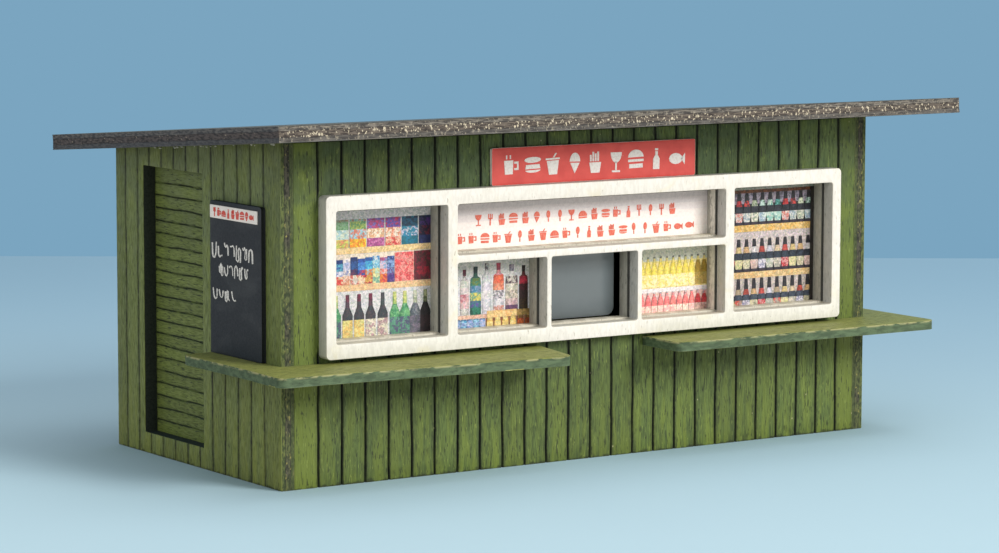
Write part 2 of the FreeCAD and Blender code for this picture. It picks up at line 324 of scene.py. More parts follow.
class Sheet:
    """A flat sheet on the bench: X along it, Y up it and Z out of its face, in millimetres."""

    EVEN = 0.9
    STEEP = 0.35
    SCORCH = 0.25
    BORDER = 0.4
    BESIDE = 0.2
    FLANK = 0.1
    SIDEWAYS = 0.3
    UPWARD = 0.7
    END = 0.8
    AROUND = 0.12
    SMOOTH = math.radians(35)

    def __init__(self, name: str, area: Area, thickness: float) -> None:
        """Lay a plane of the area's size on the bench."""
        self.area = area
        self.thickness = thickness
        self.grooves: list[Groove] = []
        self.groove_half = 0.16
        self.groove_depth = 0.3
        self.lap = 0.0
        middle = ((area.left + area.right) / 2, (area.foot + area.head) / 2, 0)
        size = Matrix.Diagonal((area.right - area.left, area.head - area.foot, 1, 1))
        self.piece = named(added(bpy.ops.mesh.primitive_plane_add, size=1), name)
        place(self.piece, Matrix.Translation(middle) @ size)

    def trim(self, point: Sequence[float], normal: Sequence[float]) -> None:
        """Cut the sheet along a plane and drop what lies beyond it."""
        with Editing(self.piece):
            bpy.ops.mesh.select_all(action="SELECT")
            bpy.ops.mesh.bisect(plane_co=point, plane_no=normal, clear_outer=True)

    def score(self, xs: Iterable[float] = (), ys: Iterable[float] = (), depths: Iterable[float] = ()) -> None:
        """Add lines of vertices.

        Args:
            xs: places along the sheet.
            ys: places up it.
            depths: places below its face.
        """
        planes = [((x, 0, 0), (1, 0, 0)) for x in xs]
        planes += [((0, y, 0), (0, 1, 0)) for y in ys]
        planes += [((0, 0, -depth), (0, 0, 1)) for depth in depths]
        with Editing(self.piece):
            for point, normal in planes:
                bpy.ops.mesh.select_all(action="SELECT")
                bpy.ops.mesh.bisect(plane_co=point, plane_no=normal)

    def cut_out(self, holes: Sequence[Area], lap: float = 0.0) -> None:
        """Cut rectangular openings.

        Args:
            holes: the openings.
            lap: how far round them the face is scored too, for a finish of its own.
        """
        self.lap = lap
        scored = [*holes, *(hole.shrunk(-lap) for hole in holes if lap)]
        self.score({x for hole in scored for x in (hole.left, hole.right)},
                   {y for hole in scored for y in (hole.foot, hole.head)})
        pick(self.piece, faces=lambda face: any(hole.holds(face.center.x, face.center.y) for hole in holes))
        with Editing(self.piece):
            bpy.ops.mesh.delete(type="FACE")

    def thicken(self) -> None:
        """Give the sheet its thickness, behind its face."""
        finish_with(self.piece, "SOLIDIFY", thickness=self.thickness, offset=-1)

    def round_corners(self, corners: Iterable[Point], radius: float, steps: int = 5) -> None:
        """Round the sheet's outline.

        Args:
            corners: the corners that are rounded.
            radius: their radius.
            steps: how many flats make the round.
        """
        spots = list(corners)

        def upright(start: Vector, end: Vector) -> bool:
            """Return whether an edge stands on one of the corners."""
            level = (start - end).to_2d().length < NEAR
            return level and any((start.to_2d() - Vector(spot)).length < NEAR for spot in spots)

        pick(self.piece, edges=upright)
        with Editing(self.piece, "EDGE"):
            bpy.ops.mesh.bevel(offset=radius, segments=steps, affect="EDGES")

    def soften(self, width: float, steps: int = 2) -> None:
        """Take the sharpness off the outline."""
        finish_with(self.piece, "BEVEL", width=width, segments=steps, limit_method="ANGLE",
                    angle_limit=math.radians(50))

    def engrave(self, grooves: Sequence[Groove], wander: float, seed: float, step: float = 1.6,
                half: float = 0.16, depth: float = 0.3, halo: float = 0.45) -> None:
        """Engrave V grooves in the face and let them wander a little.

        Args:
            grooves: the lines that are cut.
            wander: how far a groove may leave its line, in millimetres.
            seed: where the wander starts.
            step: the distance between stations along the grooves.
            half: half of a groove's width.
            depth: how deep it goes.
            halo: how far its burnt borders reach.
        """
        self.grooves = list(grooves)
        self.groove_half = half
        self.groove_depth = depth
        run = grooves[0].run
        sides = (-half - halo, -half, 0, half, half + halo)
        across = [groove.at + side for groove in grooves for side in sides]
        start, end = (self.area.foot, self.area.head) if run is Run.UP else (self.area.left, self.area.right)
        count = int((end - start) / step)
        along = [start + (end - start) * number / count for number in range(1, count)]
        self.score(across if run is Run.UP else along, along if run is Run.UP else across)
        for vertex in self.piece.data.vertices:
            if self.is_face(vertex.co):
                self.carve(vertex.co, wander, seed)

    def is_face(self, point: Vector) -> bool:
        """Return whether a place lies in the upper half of the sheet's thickness."""
        return point.z >= -0.5 * self.thickness

    def carve(self, point: Vector, wander: float, seed: float) -> None:
        """Sink a place that lies in a groove, and move it to the side as the groove wanders.

        Args:
            point: the place, which is changed.
            wander: how far the groove may leave its line.
            seed: where the wander starts.
        """
        for number, groove in enumerate(self.grooves):
            if not (groove.reaches(point, self.groove_half + 2 * NEAR) and groove.runs_at(point)):
                continue
            station = point[groove.run.value]
            if groove.reaches(point, NEAR):
                depth = self.groove_depth * (0.85 + 0.15 * noise.noise((seed, station, number)))
                point.z = min(point.z, -depth)
            broad = noise.noise(Vector((number * 7.3 + seed, station * 0.22, seed)))
            fine = noise.noise(Vector((number * 3.1 + seed, station * 0.9, seed)))
            point[1 - groove.run.value] += wander * broad + wander * 0.4 * fine
            break

    def fray(self, amount: float, seed: float, fineness: float = 1.2) -> None:
        """Draw the cut edges in unevenly, never outward.

        Args:
            amount: how far at most.
            seed: where the unevenness starts.
            fineness: how often it changes in a millimetre.
        """
        mesh = self.piece.data
        ways = [Vector((0, 0)) for _ in mesh.vertices]
        for face in mesh.polygons:
            if abs(face.normal.z) < self.SIDEWAYS:
                for index in face.vertices:
                    ways[index] += face.normal.to_2d()
        for vertex, way in zip(mesh.vertices, ways):
            if way.length > NEAR:
                spot = vertex.co * fineness + Vector((seed, seed, seed))
                pull = amount * (0.5 + 0.5 * noise.noise(spot))
                vertex.co.xy -= way.normalized() * pull

    def bow(self, lift: Callable[[Vector], float]) -> None:
        """Move every vertex along Z by what a rule gives for its place."""
        for vertex in self.piece.data.vertices:
            vertex.co.z += lift(vertex.co)

    def mark(self, face_finish: "Finish", edge_finish: "Finish | None" = None, seed: int = 1) -> None:
        """Write what the finishes read, and give faces and cut edges their materials.

        Args:
            face_finish: the finish of the two faces.
            edge_finish: the finish of the cut edges, or None where it is the same.
            seed: the seed of the tones of the planks.
        """
        mesh = self.piece.data
        steep = {index for face in mesh.polygons if abs(face.normal.z) < self.EVEN for index in face.vertices}
        for name, measure in {
                "depth": lambda vertex: -vertex.co.z,
                "groove": lambda vertex: self.burn(vertex.co) if self.is_face(vertex.co) else 0.0,
                "rim": lambda vertex: float(vertex.index in steep and self.is_rim(vertex.co))}.items():
            values = [measure(vertex) for vertex in mesh.vertices]
            mesh.attributes.new(name, "FLOAT", "POINT").data.foreach_set("value", values)
        draw = random.Random(seed)
        tones = [draw.uniform(-1, 1) for _ in range(len(self.grooves) + 1)]
        planks = (sum(groove.offset(face.center) > 0 for groove in self.grooves) for face in mesh.polygons)
        values = [tones[plank] for plank in planks]
        mesh.attributes.new("tone", "FLOAT", "FACE").data.foreach_set("value", values)
        mesh.materials.append(face_finish.material())
        if edge_finish:
            self.finish_faces(edge_finish, self.is_edge)
        activate(self.piece)
        bpy.ops.object.shade_smooth_by_angle(angle=self.SMOOTH)

    def line(self, holes: Iterable[Area], finish: "Finish", sill: "Finish | None" = None) -> None:
        """Give the faces round some openings finishes of their own.

        Args:
            holes: the openings.
            finish: the finish of the faces round them.
            sill: the finish of what looks up or lies below them, or None where it is the same.
        """
        grown = [hole.shrunk(-self.lap - self.AROUND) for hole in holes]

        def beside(face: Face) -> bool:
            """Return whether a face lines an opening."""
            flat = abs(face.normal.z) > self.STEEP and not self.lap
            return not flat and any(hole.holds(face.center.x, face.center.y) for hole in grown)

        def below(face: Face) -> bool:
            """Return whether a face looks up or lies below its opening."""
            spot = face.center
            return face.normal.y >= self.UPWARD or any(
                wide.holds(spot.x, spot.y) and spot.y < hole.foot for wide, hole in zip(grown, holes))

        self.finish_faces(finish, beside)
        if sill:
            self.finish_faces(sill, lambda face: beside(face) and below(face))

    def finish_ends(self, finish: "Finish") -> None:
        """Give the sheet's left and right ends a finish of their own."""
        self.finish_faces(finish, lambda face: abs(face.normal.x) > self.END)

    def finish_faces(self, finish: "Finish", wanted: Callable[[Face], bool]) -> None:
        """Give the faces that pass a test one more finish."""
        mesh = self.piece.data
        mesh.materials.append(finish.material())
        for face in mesh.polygons:
            if wanted(face):
                face.material_index = len(mesh.materials) - 1

    def beside_groove(self, point: Vector, reach: float, cut: bool = False) -> bool:
        """Return whether a place lies in a groove's line or within a reach of it, or only where it is cut."""
        return any(groove.reaches(point, self.groove_half + reach) and (groove.runs_at(point) or not cut)
                   for groove in self.grooves)

    def burn(self, point: Vector) -> float:
        """Return how burnt a place on the face is: 1 in a groove's depth, less at its borders."""
        if not self.beside_groove(point, self.SCORCH, cut=True):
            return 0.0
        return 1.0 if point.z < -self.BORDER * self.groove_depth else self.BORDER

    def is_rim(self, point: Vector) -> bool:
        """Return whether a place isn't on the face in or beside a groove's line."""
        return not (self.is_face(point) and self.beside_groove(point, self.BESIDE))

    def is_edge(self, face: Face) -> bool:
        """Return whether a face is steep and part of a cut edge, not of a groove's flank."""
        spot = face.center
        shallow = spot.z > -self.groove_depth - NEAR and self.area.inset_of(spot.x, spot.y) > self.BESIDE
        return abs(face.normal.z) < self.STEEP and not (shallow and self.beside_groove(spot, self.FLANK))

    def deliver(self, facing: Facing, level: float, slot: str, node: str) -> None:
        """Stand the sheet on the kiosk, attach it to the root body and hide its solid."""
        stand(self.piece, facing, level)
        hand_in(self.piece, slot, node)


class Graph:
    """The nodes of one shader tree, added and linked in reading order."""

    def __init__(self, tree: bpy.types.NodeTree) -> None:
        """Keep the tree."""
        self.tree = tree

    def feed(self, socket: Socket, value: object) -> None:
        """Link a socket, or set its own value."""
        if isinstance(value, Socket):
            self.tree.links.new(value, socket)
        else:
            socket.default_value = value

    def add(self, kind: str, inputs: dict[str | int, object] | None = None,
            **settings: object) -> bpy.types.Node:
        """Add a node.

        Args:
            kind: Blender's name of the node's type.
            inputs: values or sockets for its inputs.
            settings: the node's own values.

        Returns:
            The node.
        """
        node = self.tree.nodes.new(kind)
        for name, value in settings.items():
            setattr(node, name, value)
        for name, value in (inputs or {}).items():
            self.feed(node.inputs[name], value)
        return node

    def math(self, operation: str, *values: object) -> Socket:
        """Return the result of a Math node."""
        return self.add("ShaderNodeMath", dict(enumerate(values)), operation=operation).outputs[0]

    def plus(self, first: object, second: object) -> Socket:
        """Return a sum."""
        return self.math("ADD", first, second)

    def minus(self, first: object, second: object) -> Socket:
        """Return a difference."""
        return self.math("SUBTRACT", first, second)

    def times(self, first: object, second: object) -> Socket:
        """Return a product."""
        return self.math("MULTIPLY", first, second)

    def mix(self, factor: object, under: object, over: object, blend: str = "MIX") -> Socket:
        """Return one colour mixed over another."""
        node = self.add("ShaderNodeMix", {0: factor, 6: under, 7: over}, data_type="RGBA", blend_type=blend)
        return node.outputs[2]

    def coat(self, under: object, code: str, mask: object, share: float | None = None) -> Socket:
        """Return a colour coated with another where a mask is, in full or by a share of the mask."""
        return self.mix(mask if share is None else self.times(mask, share), under, tint(code))

    def spread(self, value: object, low: float, high: float, to_low: float = 0.0,
               to_high: float = 1.0) -> Socket:
        """Return a value mapped smoothly from one range to another."""
        node = self.add("ShaderNodeMapRange", {0: value, 1: low, 2: high, 3: to_low, 4: to_high},
                        interpolation_type="SMOOTHSTEP")
        return node.outputs[0]

    def noise(self, vector: object, scale: float, detail: float = 3.0,
              distortion: float = 0.0) -> Socket:
        """Return a noise value."""
        inputs = {"Vector": vector, "Scale": scale, "Detail": detail, "Distortion": distortion}
        return self.add("ShaderNodeTexNoise", inputs).outputs[0]

    def scaled(self, vector: object, factors: Sequence[float]) -> Socket:
        """Return a vector stretched by plain factors."""
        return self.add("ShaderNodeMapping", {"Vector": vector, "Scale": factors}).outputs[0]

    def stretched(self, vector: object, factors: object) -> Socket:
        """Return a vector multiplied by the factors of a socket or by plain ones."""
        return self.add("ShaderNodeVectorMath", {0: vector, 1: factors}, operation="MULTIPLY").outputs[0]

    def grey(self, value: object) -> Socket:
        """Return a value as a grey colour."""
        return self.add("ShaderNodeCombineColor", {0: value, 1: value, 2: value}).outputs[0]

    def millimetres(self) -> Socket:
        """Return the place on the kiosk in millimetres."""
        coordinates = self.add("ShaderNodeTexCoord")
        return self.scaled(coordinates.outputs["Object"], (1 / MM, 1 / MM, 1 / MM))

    def attribute(self, name: str) -> Socket:
        """Return a number that the mesh carries."""
        return self.add("ShaderNodeAttribute", attribute_name=name).outputs["Fac"]

    def use(self, effect: "type[Effect]", vector: object, **inputs: object) -> list[Socket]:
        """Place a shared effect, feed its named inputs and return its outputs in order."""
        node = self.add("ShaderNodeGroup", {"Vector": vector}, node_tree=effect.tree())
        for name, value in inputs.items():
            self.feed(node.inputs[name.capitalize()], value)
        return list(node.outputs)

    def mask(self, effect: "type[Effect]", vector: object, **inputs: object) -> Socket:
        """Place a shared effect that gives one mask, and return it."""
        return self.use(effect, vector, **inputs)[0]

    def surface(self, colour: object, roughness: object, bump: object = None, relief: float = 0.03,
                **constants: object) -> None:
        """Finish the material with a Principled shader.

        Args:
            colour: the base colour.
            roughness: the roughness.
            bump: the height of the surface's relief, or None.
            relief: the depth of that relief in millimetres.
            constants: other inputs of the shader, with _ for spaces.
        """
        shader = self.add("ShaderNodeBsdfPrincipled", {"Base Color": colour, "Roughness": roughness})
        for name, value in constants.items():
            shader.inputs[name.replace("_", " ")].default_value = value
        if bump is not None:
            lift = self.add("ShaderNodeBump", {"Height": bump, "Strength": 0.8, "Distance": relief * MM})
            self.feed(shader.inputs["Normal"], lift.outputs[0])
        output = self.add("ShaderNodeOutputMaterial")
        self.feed(output.inputs["Surface"], shader.outputs[0])


class Effect:
    """A shared effect: a shader node group with named sockets, built once."""

    takes: dict[str, object] = {}
    gives: tuple[str, ...] = ("Mask",)

    @classmethod
    def tree(cls) -> bpy.types.NodeTree:
        """Return the group, built when it is first asked for."""
        title = "".join(f" {sign}" if sign.isupper() else sign for sign in cls.__name__).strip()
        found = bpy.data.node_groups.get(title)
        if found:
            return found
        tree = bpy.data.node_groups.new(title, "ShaderNodeTree")
        for name, value in {"Vector": (0.0, 0.0, 0.0), **cls.takes}.items():
            kind = "NodeSocketVector" if isinstance(value, tuple) else "NodeSocketFloat"
            tree.interface.new_socket(name=name, in_out="INPUT", socket_type=kind).default_value = value
        for name in cls.gives:
            kind = "NodeSocketColor" if name == "Colour" else "NodeSocketFloat"
            tree.interface.new_socket(name=name, in_out="OUTPUT", socket_type=kind)
        graph = Graph(tree)
        taken = graph.add("NodeGroupInput").outputs
        given = graph.add("NodeGroupOutput")
        for name, value in zip(cls.gives, cls.wire(graph, taken)):
            graph.feed(given.inputs[name], value)
        return tree

    @classmethod
    def wire(cls, graph: Graph, taken: Taken) -> Given:
        """Build the effect's nodes.

        Args:
            graph: the nodes of its group.
            taken: what the group takes, by name.

        Returns:
            What it gives, in the order of its outputs.
        """
        raise NotImplementedError


class FibreGrain(Effect):
    """Wood fibres: fine streaks, broad bundles and the relief of both."""

    takes = {"Stretch": (5.0, 5.0, 0.3)}
    gives = ("Streak", "Bundle", "Height")

    @classmethod
    def wire(cls, graph: Graph, taken: Taken) -> Given:
        """Stretch two noises along the grain."""
        drawn = graph.stretched(taken["Vector"], taken["Stretch"])
        fine = graph.noise(drawn, 1.6, 3.0, 0.1)
        broad = graph.noise(drawn, 0.3, 2.0, 0.5)
        height = graph.plus(graph.times(fine, 0.8), graph.times(broad, 0.2))
        return graph.spread(fine, 0.36, 0.64), graph.spread(broad, 0.32, 0.68), height


class Strokes(Effect):
    """Short dry-brushed strokes or pores along the grain."""

    takes = {"Stretch": (5.0, 5.0, 0.8), "Cover": 0.1, "Seed": 0.0}

    @classmethod
    def wire(cls, graph: Graph, taken: Taken) -> Given:
        """Keep the peaks of a stretched noise."""
        moved = graph.add("ShaderNodeVectorMath", {0: taken["Vector"], 1: taken["Seed"]}, operation="ADD")
        drawn = graph.stretched(moved.outputs[0], taken["Stretch"])
        return (graph.spread(graph.plus(graph.noise(drawn, 1.0, 2.0), taken["Cover"]), 0.68, 0.76),)


class Blotches(Effect):
    """Soft uneven patches."""

    takes = {"Scale": 0.2, "Cover": 0.5}

    @classmethod
    def wire(cls, graph: Graph, taken: Taken) -> Given:
        """Lift a distorted noise by the cover and keep its peaks."""
        patches = graph.noise(taken["Vector"], taken["Scale"], 4.0, 0.7)
        return (graph.spread(graph.plus(patches, graph.minus(taken["Cover"], 0.5)), 0.45, 0.7),)


class Specks(Effect):
    """Small scattered flecks."""

    takes = {"Scale": 1.0, "Share": 0.2, "Size": 0.2}

    @classmethod
    def wire(cls, graph: Graph, taken: Taken) -> Given:
        """Keep the middles of a share of the cells."""
        cells = graph.add("ShaderNodeTexVoronoi", {"Vector": taken["Vector"], "Scale": taken["Scale"]})
        chance = graph.add("ShaderNodeSeparateColor", {0: cells.outputs["Color"]}).outputs[0]
        chosen = graph.math("LESS_THAN", chance, taken["Share"])
        near = graph.minus(1.0, graph.math("DIVIDE", cells.outputs["Distance"], taken["Size"]))
        return (graph.times(chosen, graph.spread(near, 0.0, 0.5)),)


class PlyLayers(Effect):
    """The layers that a cut edge of three-ply shows: its core, the glue lines and the last ply."""

    takes = {"Depth": 0.0, "Thickness": 1.5}
    gives = ("Core", "Glue", "Foot")

    @classmethod
    def wire(cls, graph: Graph, taken: Taken) -> Given:
        """Part the depth in thirds, with wandering borders."""
        waver = graph.times(graph.minus(graph.noise(taken["Vector"], 0.8, 3.0), 0.5), 0.16)
        share = graph.plus(graph.math("DIVIDE", taken["Depth"], taken["Thickness"]), waver)
        into, out = graph.spread(share, 0.27, 0.34), graph.spread(share, 0.66, 0.73)
        glue = graph.plus(graph.math("COMPARE", share, 0.31, 0.03), graph.math("COMPARE", share, 0.69, 0.03))
        return graph.minus(into, out), glue, out


class PlankField(Effect):
    """Burnt grooves between planks: the dark line itself and its scorched borders."""

    takes = {"Groove": 0.0, "Gaps": 0.0}
    gives = ("Line", "Scorch")

    @classmethod
    def wire(cls, graph: Graph, taken: Taken) -> Given:
        """Break the mesh's groove value with noise, and let the line fade in places."""
        uneven = graph.times(graph.minus(graph.noise(taken["Vector"], 2.2, 3.0), 0.5), 0.45)
        value = graph.plus(taken["Groove"], uneven)
        fading = graph.spread(graph.noise(taken["Vector"], 0.45, 3.0), 0.5, 0.62)
        kept = graph.minus(1.0, graph.times(fading, taken["Gaps"]))
        return graph.times(graph.spread(value, 0.42, 0.66), kept), graph.spread(value, 0.05, 0.5)


class WornRim(Effect):
    """Wear that eats in from an edge."""

    takes = {"Rim": 0.0, "Scale": 3.0, "Reach": 0.5}

    @classmethod
    def wire(cls, graph: Graph, taken: Taken) -> Given:
        """Let noise decide how far the wear reaches."""
        ragged = graph.minus(graph.noise(taken["Vector"], taken["Scale"], 4.0), 0.5)
        level = graph.plus(graph.plus(taken["Rim"], ragged), graph.minus(taken["Reach"], 1.0))
        return (graph.spread(level, 0.0, 0.25),)


class PrintDots(Effect):
    """The coarse dots of a small colour print: patches of a second ink, uneven ink and stray colour."""

    takes = {"Dots": 6.5}
    gives = ("Patch", "Ink", "Colour")

    @classmethod
    def wire(cls, graph: Graph, taken: Taken) -> Given:
        """Part the print in cells and give each its own ink."""
        cells = graph.add("ShaderNodeTexVoronoi", {"Vector": taken["Vector"], "Scale": taken["Dots"]})
        stray = cells.outputs["Color"]
        draw = graph.add("ShaderNodeSeparateColor", {0: stray}).outputs
        level = graph.plus(graph.noise(taken["Vector"], 2.6, 2.0), graph.times(draw[1], 0.3))
        return graph.spread(level, 0.58, 0.76), draw[0], stray


class Grain(Enum):
    """How wood fibres are stretched on each axis: few per millimetre along the grain."""

    UPRIGHT = (5.0, 5.0, 0.55)
    LENGTHWISE = (0.55, 5.0, 5.0)
    DEEP = (5.0, 0.55, 5.0)

    def finer(self) -> Point3:
        """Return the stretch of pores and brush strokes, which are finer and shorter than the fibres."""
        return tuple(part * 2.0 if part < 1 else part * 1.5 for part in self.value)


@dataclass(frozen=True)
class Finish:
    """A finish that builds its material once."""

    name: str

    def material(self) -> bpy.types.Material:
        """Return the material, built when it is first asked for."""
        found = bpy.data.materials.get(self.name)
        if found:
            return found
        made = bpy.data.materials.new(self.name)
        made.use_nodes = True
        made.node_tree.nodes.clear()
        self.wire(Graph(made.node_tree))
        return made

    def wire(self, graph: Graph) -> None:
        """Build the material's nodes.

        Args:
            graph: the nodes, empty at first.
        """
        raise NotImplementedError

    def dress(self, piece: Piece) -> None:
        """Lay the finish all over a piece."""
        piece.data.materials.clear()
        piece.data.materials.append(self.material())


@dataclass(frozen=True)
class StainedPly(Finish):
    """Thin stain on a plywood face, with its grain, strokes, patches, grooves and flecks, painted shade that
    gathers toward the top and a painted contact shadow at the foot.
    """

    grain: Grain = Grain.UPRIGHT
    dark: str = "3f5026"
    middle: str = "55692e"
    light: str = "869648"
    pore: str = "1e270e"
    warm: str = "6c7d2d"
    # This colour is laid in patches that thicken toward the top: patchy stain, and painted shade under the
    # roof's overhang.
    cool: str = "374d34"
    groove: str = "10160b"
    fleck: str = "b9b58e"
    warm_below: float = 11.0
    cool_above: float = 27.0
    gaps: float = 0.25
    line: float = 1.0
    strokes: float = 0.04
    flecks: float = 0.1
    ends: float = 0.0

    def wire(self, graph: Graph) -> None:
        """Lay stain, strokes, patches and grooves over the grain, with painted shade toward the top and a
        painted contact shadow at the foot.
        """
        spot = graph.millimetres()
        streak, bundle, relief = graph.use(FibreGrain, spot, stretch=self.grain.value)
        line, scorch = graph.use(PlankField, spot, groove=graph.attribute("groove"), gaps=self.gaps)
        across, _, height = graph.add("ShaderNodeSeparateXYZ", {0: spot}).outputs
        colour = graph.mix(streak, tint(self.dark), tint(self.middle))
        end = graph.spread(graph.math("ABSOLUTE", across), 31.0, 33.5, 0.0, self.ends)
        colour = graph.coat(colour, self.warm, end)
        low = graph.spread(height, 0.0, self.warm_below, 0.7, 0.25)
        colour = graph.coat(colour, self.warm, graph.times(low, bundle))
        # Darker patches that grow with height: patchy stain, and painted shade under the roof.
        cover = graph.spread(height, self.cool_above - 20, self.cool_above + 6, 0.3, 0.6)
        colour = graph.coat(colour, self.cool, graph.mask(Blotches, spot, scale=0.3, cover=cover), 0.5)
        tone = graph.spread(graph.attribute("tone"), -1.0, 1.0, 0.88, 1.1)
        colour = graph.mix(1.0, colour, graph.grey(tone), "MULTIPLY")
        finer = self.grain.finer()
        bright = graph.mask(Strokes, spot, stretch=finer, cover=self.strokes, seed=3.0)
        colour = graph.coat(colour, self.light, bright, 0.6)
        pores = graph.mask(Strokes, spot, stretch=finer, cover=0.085, seed=41.0)
        colour = graph.coat(colour, self.pore, pores, 0.8)
        colour = graph.coat(colour, self.pore, scorch, 0.4 * self.line)
        colour = graph.coat(colour, self.groove, line, self.line)
        # Painted contact shadow: the pore colour darkens the foot of the sheet.
        contact_shadow = graph.spread(graph.plus(height, graph.noise(spot, 1.5, 2.0)), 0.5, 0.8, 0.75, 0.0)
        colour = graph.coat(colour, self.pore, contact_shadow)
        flat = graph.scaled(spot, (1, 1, 0.7))
        flecks = graph.mask(Specks, flat, scale=1.1, share=self.flecks, size=0.1)
        colour = graph.coat(colour, self.fleck, flecks, 0.7)
        graph.surface(colour, graph.spread(streak, 0.0, 1.0, 0.72, 0.52), relief, 0.05)


@dataclass(frozen=True)
class CutEdge(Finish):
    """The cut edge of three-ply: stained layers with end-grain grit and worn fibres."""

    grit: Point3 = (4.5, 4.5, 2.0)
    ticks: Point3 = (4.5, 4.5, 2.0)
    thickness: float = 1.5
    outer: str = "5b6632"
    inner: str = "384426"
    core: str = "484638"
    core_dark: str = "24251e"
    glue: str = "1a1b16"
    fibre: str = "8a854a"
    fibres: float = 0.06
    stained: float = 0.0

    def wire(self, graph: Graph) -> None:
        """Lay the three layers, and grit and worn fibres over them."""
        spot = graph.millimetres()
        depth = graph.attribute("depth")
        middle, glue, foot = graph.use(PlyLayers, spot, depth=depth, thickness=self.thickness)
        grit = graph.noise(graph.scaled(spot, self.grit), 1.0, 3.0, 0.2)
        outer = graph.mix(graph.spread(grit, 0.4, 0.6), tint(self.inner), tint(self.outer))
        core = graph.mix(graph.spread(grit, 0.38, 0.56), tint(self.core_dark), tint(self.core))
        stain = graph.spread(graph.noise(spot, 0.22, 2.0), 0.4, 0.56, 0.0, self.stained)
        colour = graph.mix(middle, outer, graph.mix(stain, core, outer))
        colour = graph.coat(colour, self.inner, foot, 0.6)
        colour = graph.coat(colour, self.glue, glue, 0.6)
        chips = graph.mask(Strokes, spot, stretch=self.ticks, cover=self.fibres, seed=17.0)
        colour = graph.coat(colour, self.fibre, graph.times(chips, graph.spread(middle, 0.0, 1.0, 0.3, 1.0)))
        graph.surface(colour, graph.spread(grit, 0.3, 0.7, 0.85, 0.65), grit, 0.1)


@dataclass(frozen=True)
class BrushedEdge(Finish):
    """A painted thin edge with a pale line dry-brushed along its upper arris."""

    low: str = "3d5036"
    high: str = "54694a"
    line: str = "a9a878"
    pore: str = "2b3524"
    reach: float = 0.3

    def wire(self, graph: Graph) -> None:
        """Lay the paint and brush the arris."""
        spot = graph.millimetres()
        body = graph.noise(graph.scaled(spot, (0.9, 1.6, 3.0)), 1.0, 4.0, 0.3)
        colour = graph.mix(graph.spread(body, 0.35, 0.65), tint(self.low), tint(self.high))
        wear = graph.noise(graph.scaled(spot, (0.7, 1.2, 2.0)), 1.0, 4.0, 0.2)
        near = graph.spread(graph.attribute("depth"), 0.02, self.reach, 1.0, 0.0)
        colour = graph.coat(colour, self.line, graph.times(near, graph.spread(wear, 0.42, 0.56)))
        pores = graph.mask(Strokes, spot, stretch=(2.5, 4.0, 5.0), cover=0.06, seed=9.0)
        graph.surface(graph.coat(colour, self.pore, pores, 0.6), 0.68, body, 0.05)


@dataclass(frozen=True)
class WhitePaint(Finish):
    """Brushed off-white paint, soiled by hairlines and at its edges, with painted shade in the crack of a
    joint.
    """

    coat: str = "e9e7e0"
    shade: str = "d4d2ca"
    stain: str = "e6dcb4"
    dirt: str = "857f6c"
    bare: str = "a39d88"
    gap: str = "1d1e1b"
    hairs: float = 0.0
    wear: float = 0.42
    # How dark the painted shade in the crack at the face is.
    joint: float = 0.0

    def wire(self, graph: Graph) -> None:
        """Lay faint brush marks, stains, hairlines, wear and a joint's painted crack shade over the coat."""
        spot = graph.millimetres()
        streak, bundle, relief = graph.use(FibreGrain, spot, stretch=(2.4, 2.4, 0.9))
        colour = graph.coat(tint(self.coat), self.shade, streak, 0.5)
        colour = graph.coat(colour, self.stain, graph.mask(Blotches, spot, scale=0.4, cover=0.42), 0.35)
        hairs = graph.mask(Strokes, spot, stretch=(5.5, 5.5, 1.3), cover=self.hairs, seed=5.0)
        colour = graph.coat(colour, self.dirt, hairs, 0.55)
        worn = graph.mask(WornRim, spot, rim=graph.attribute("rim"), scale=2.6, reach=self.wear)
        colour = graph.coat(colour, self.bare, worn, 0.5)
        # Painted shade in the crack where the face meets the piece in front, fading out a fifth of a
        # millimetre deep.
        crack_shade_mask = graph.spread(graph.attribute("depth"), 0.03, 0.2, self.joint, 0.0)
        colour = graph.coat(colour, self.gap, crack_shade_mask)
        graph.surface(colour, graph.spread(bundle, 0.0, 1.0, 0.5, 0.65), relief, 0.03)


@dataclass(frozen=True)
class PrintedCard(Finish):
    """One ink on white card, rubbed off along its edges."""

    ink: str = "e85a52"
    ink_deep: str = "da4d47"
    card: str = "f3ece4"
    reach: float = 0.6
    roughness: float = 0.5

    def wire(self, graph: Graph) -> None:
        """Lay the ink over the card and rub its rim."""
        spot = graph.millimetres()
        body = graph.spread(graph.noise(spot, 0.6, 4.0), 0.3, 0.7)
        colour = graph.coat(tint(self.ink), self.ink_deep, body)
        worn = graph.mask(WornRim, spot, rim=graph.attribute("rim"), scale=3.5, reach=self.reach)
        colour = graph.coat(colour, self.card, worn)
        pinholes = graph.mask(Specks, spot, scale=2.5, share=0.03, size=0.14)
        colour = graph.coat(colour, self.card, pinholes, 0.4)
        fine = graph.noise(spot, 7.0, 3.0)
        rough = graph.spread(fine, 0.2, 0.8, self.roughness - 0.08, self.roughness + 0.12)
        graph.surface(colour, rough, fine, 0.01)


@dataclass(frozen=True)
class Blackboard(Finish):
    """Matt blue-black board with wiped chalk and a black rim."""

    slate: str = "282a2f"
    dust: str = "434649"
    rim: str = "0b0c0d"

    def wire(self, graph: Graph) -> None:
        """Lay wiped dust over the slate and darken the rim."""
        spot = graph.millimetres()
        wiped = graph.mask(Blotches, graph.scaled(spot, (1, 0.5, 1)), scale=0.3, cover=0.5)
        colour = graph.coat(tint(self.slate), self.dust, wiped, 0.6)
        edge = graph.mask(WornRim, spot, rim=graph.attribute("rim"), scale=3.0, reach=0.62)
        fine = graph.noise(spot, 6.0, 3.0)
        graph.surface(graph.coat(colour, self.rim, edge), graph.spread(fine, 0.2, 0.8, 0.6, 0.8), fine, 0.015)


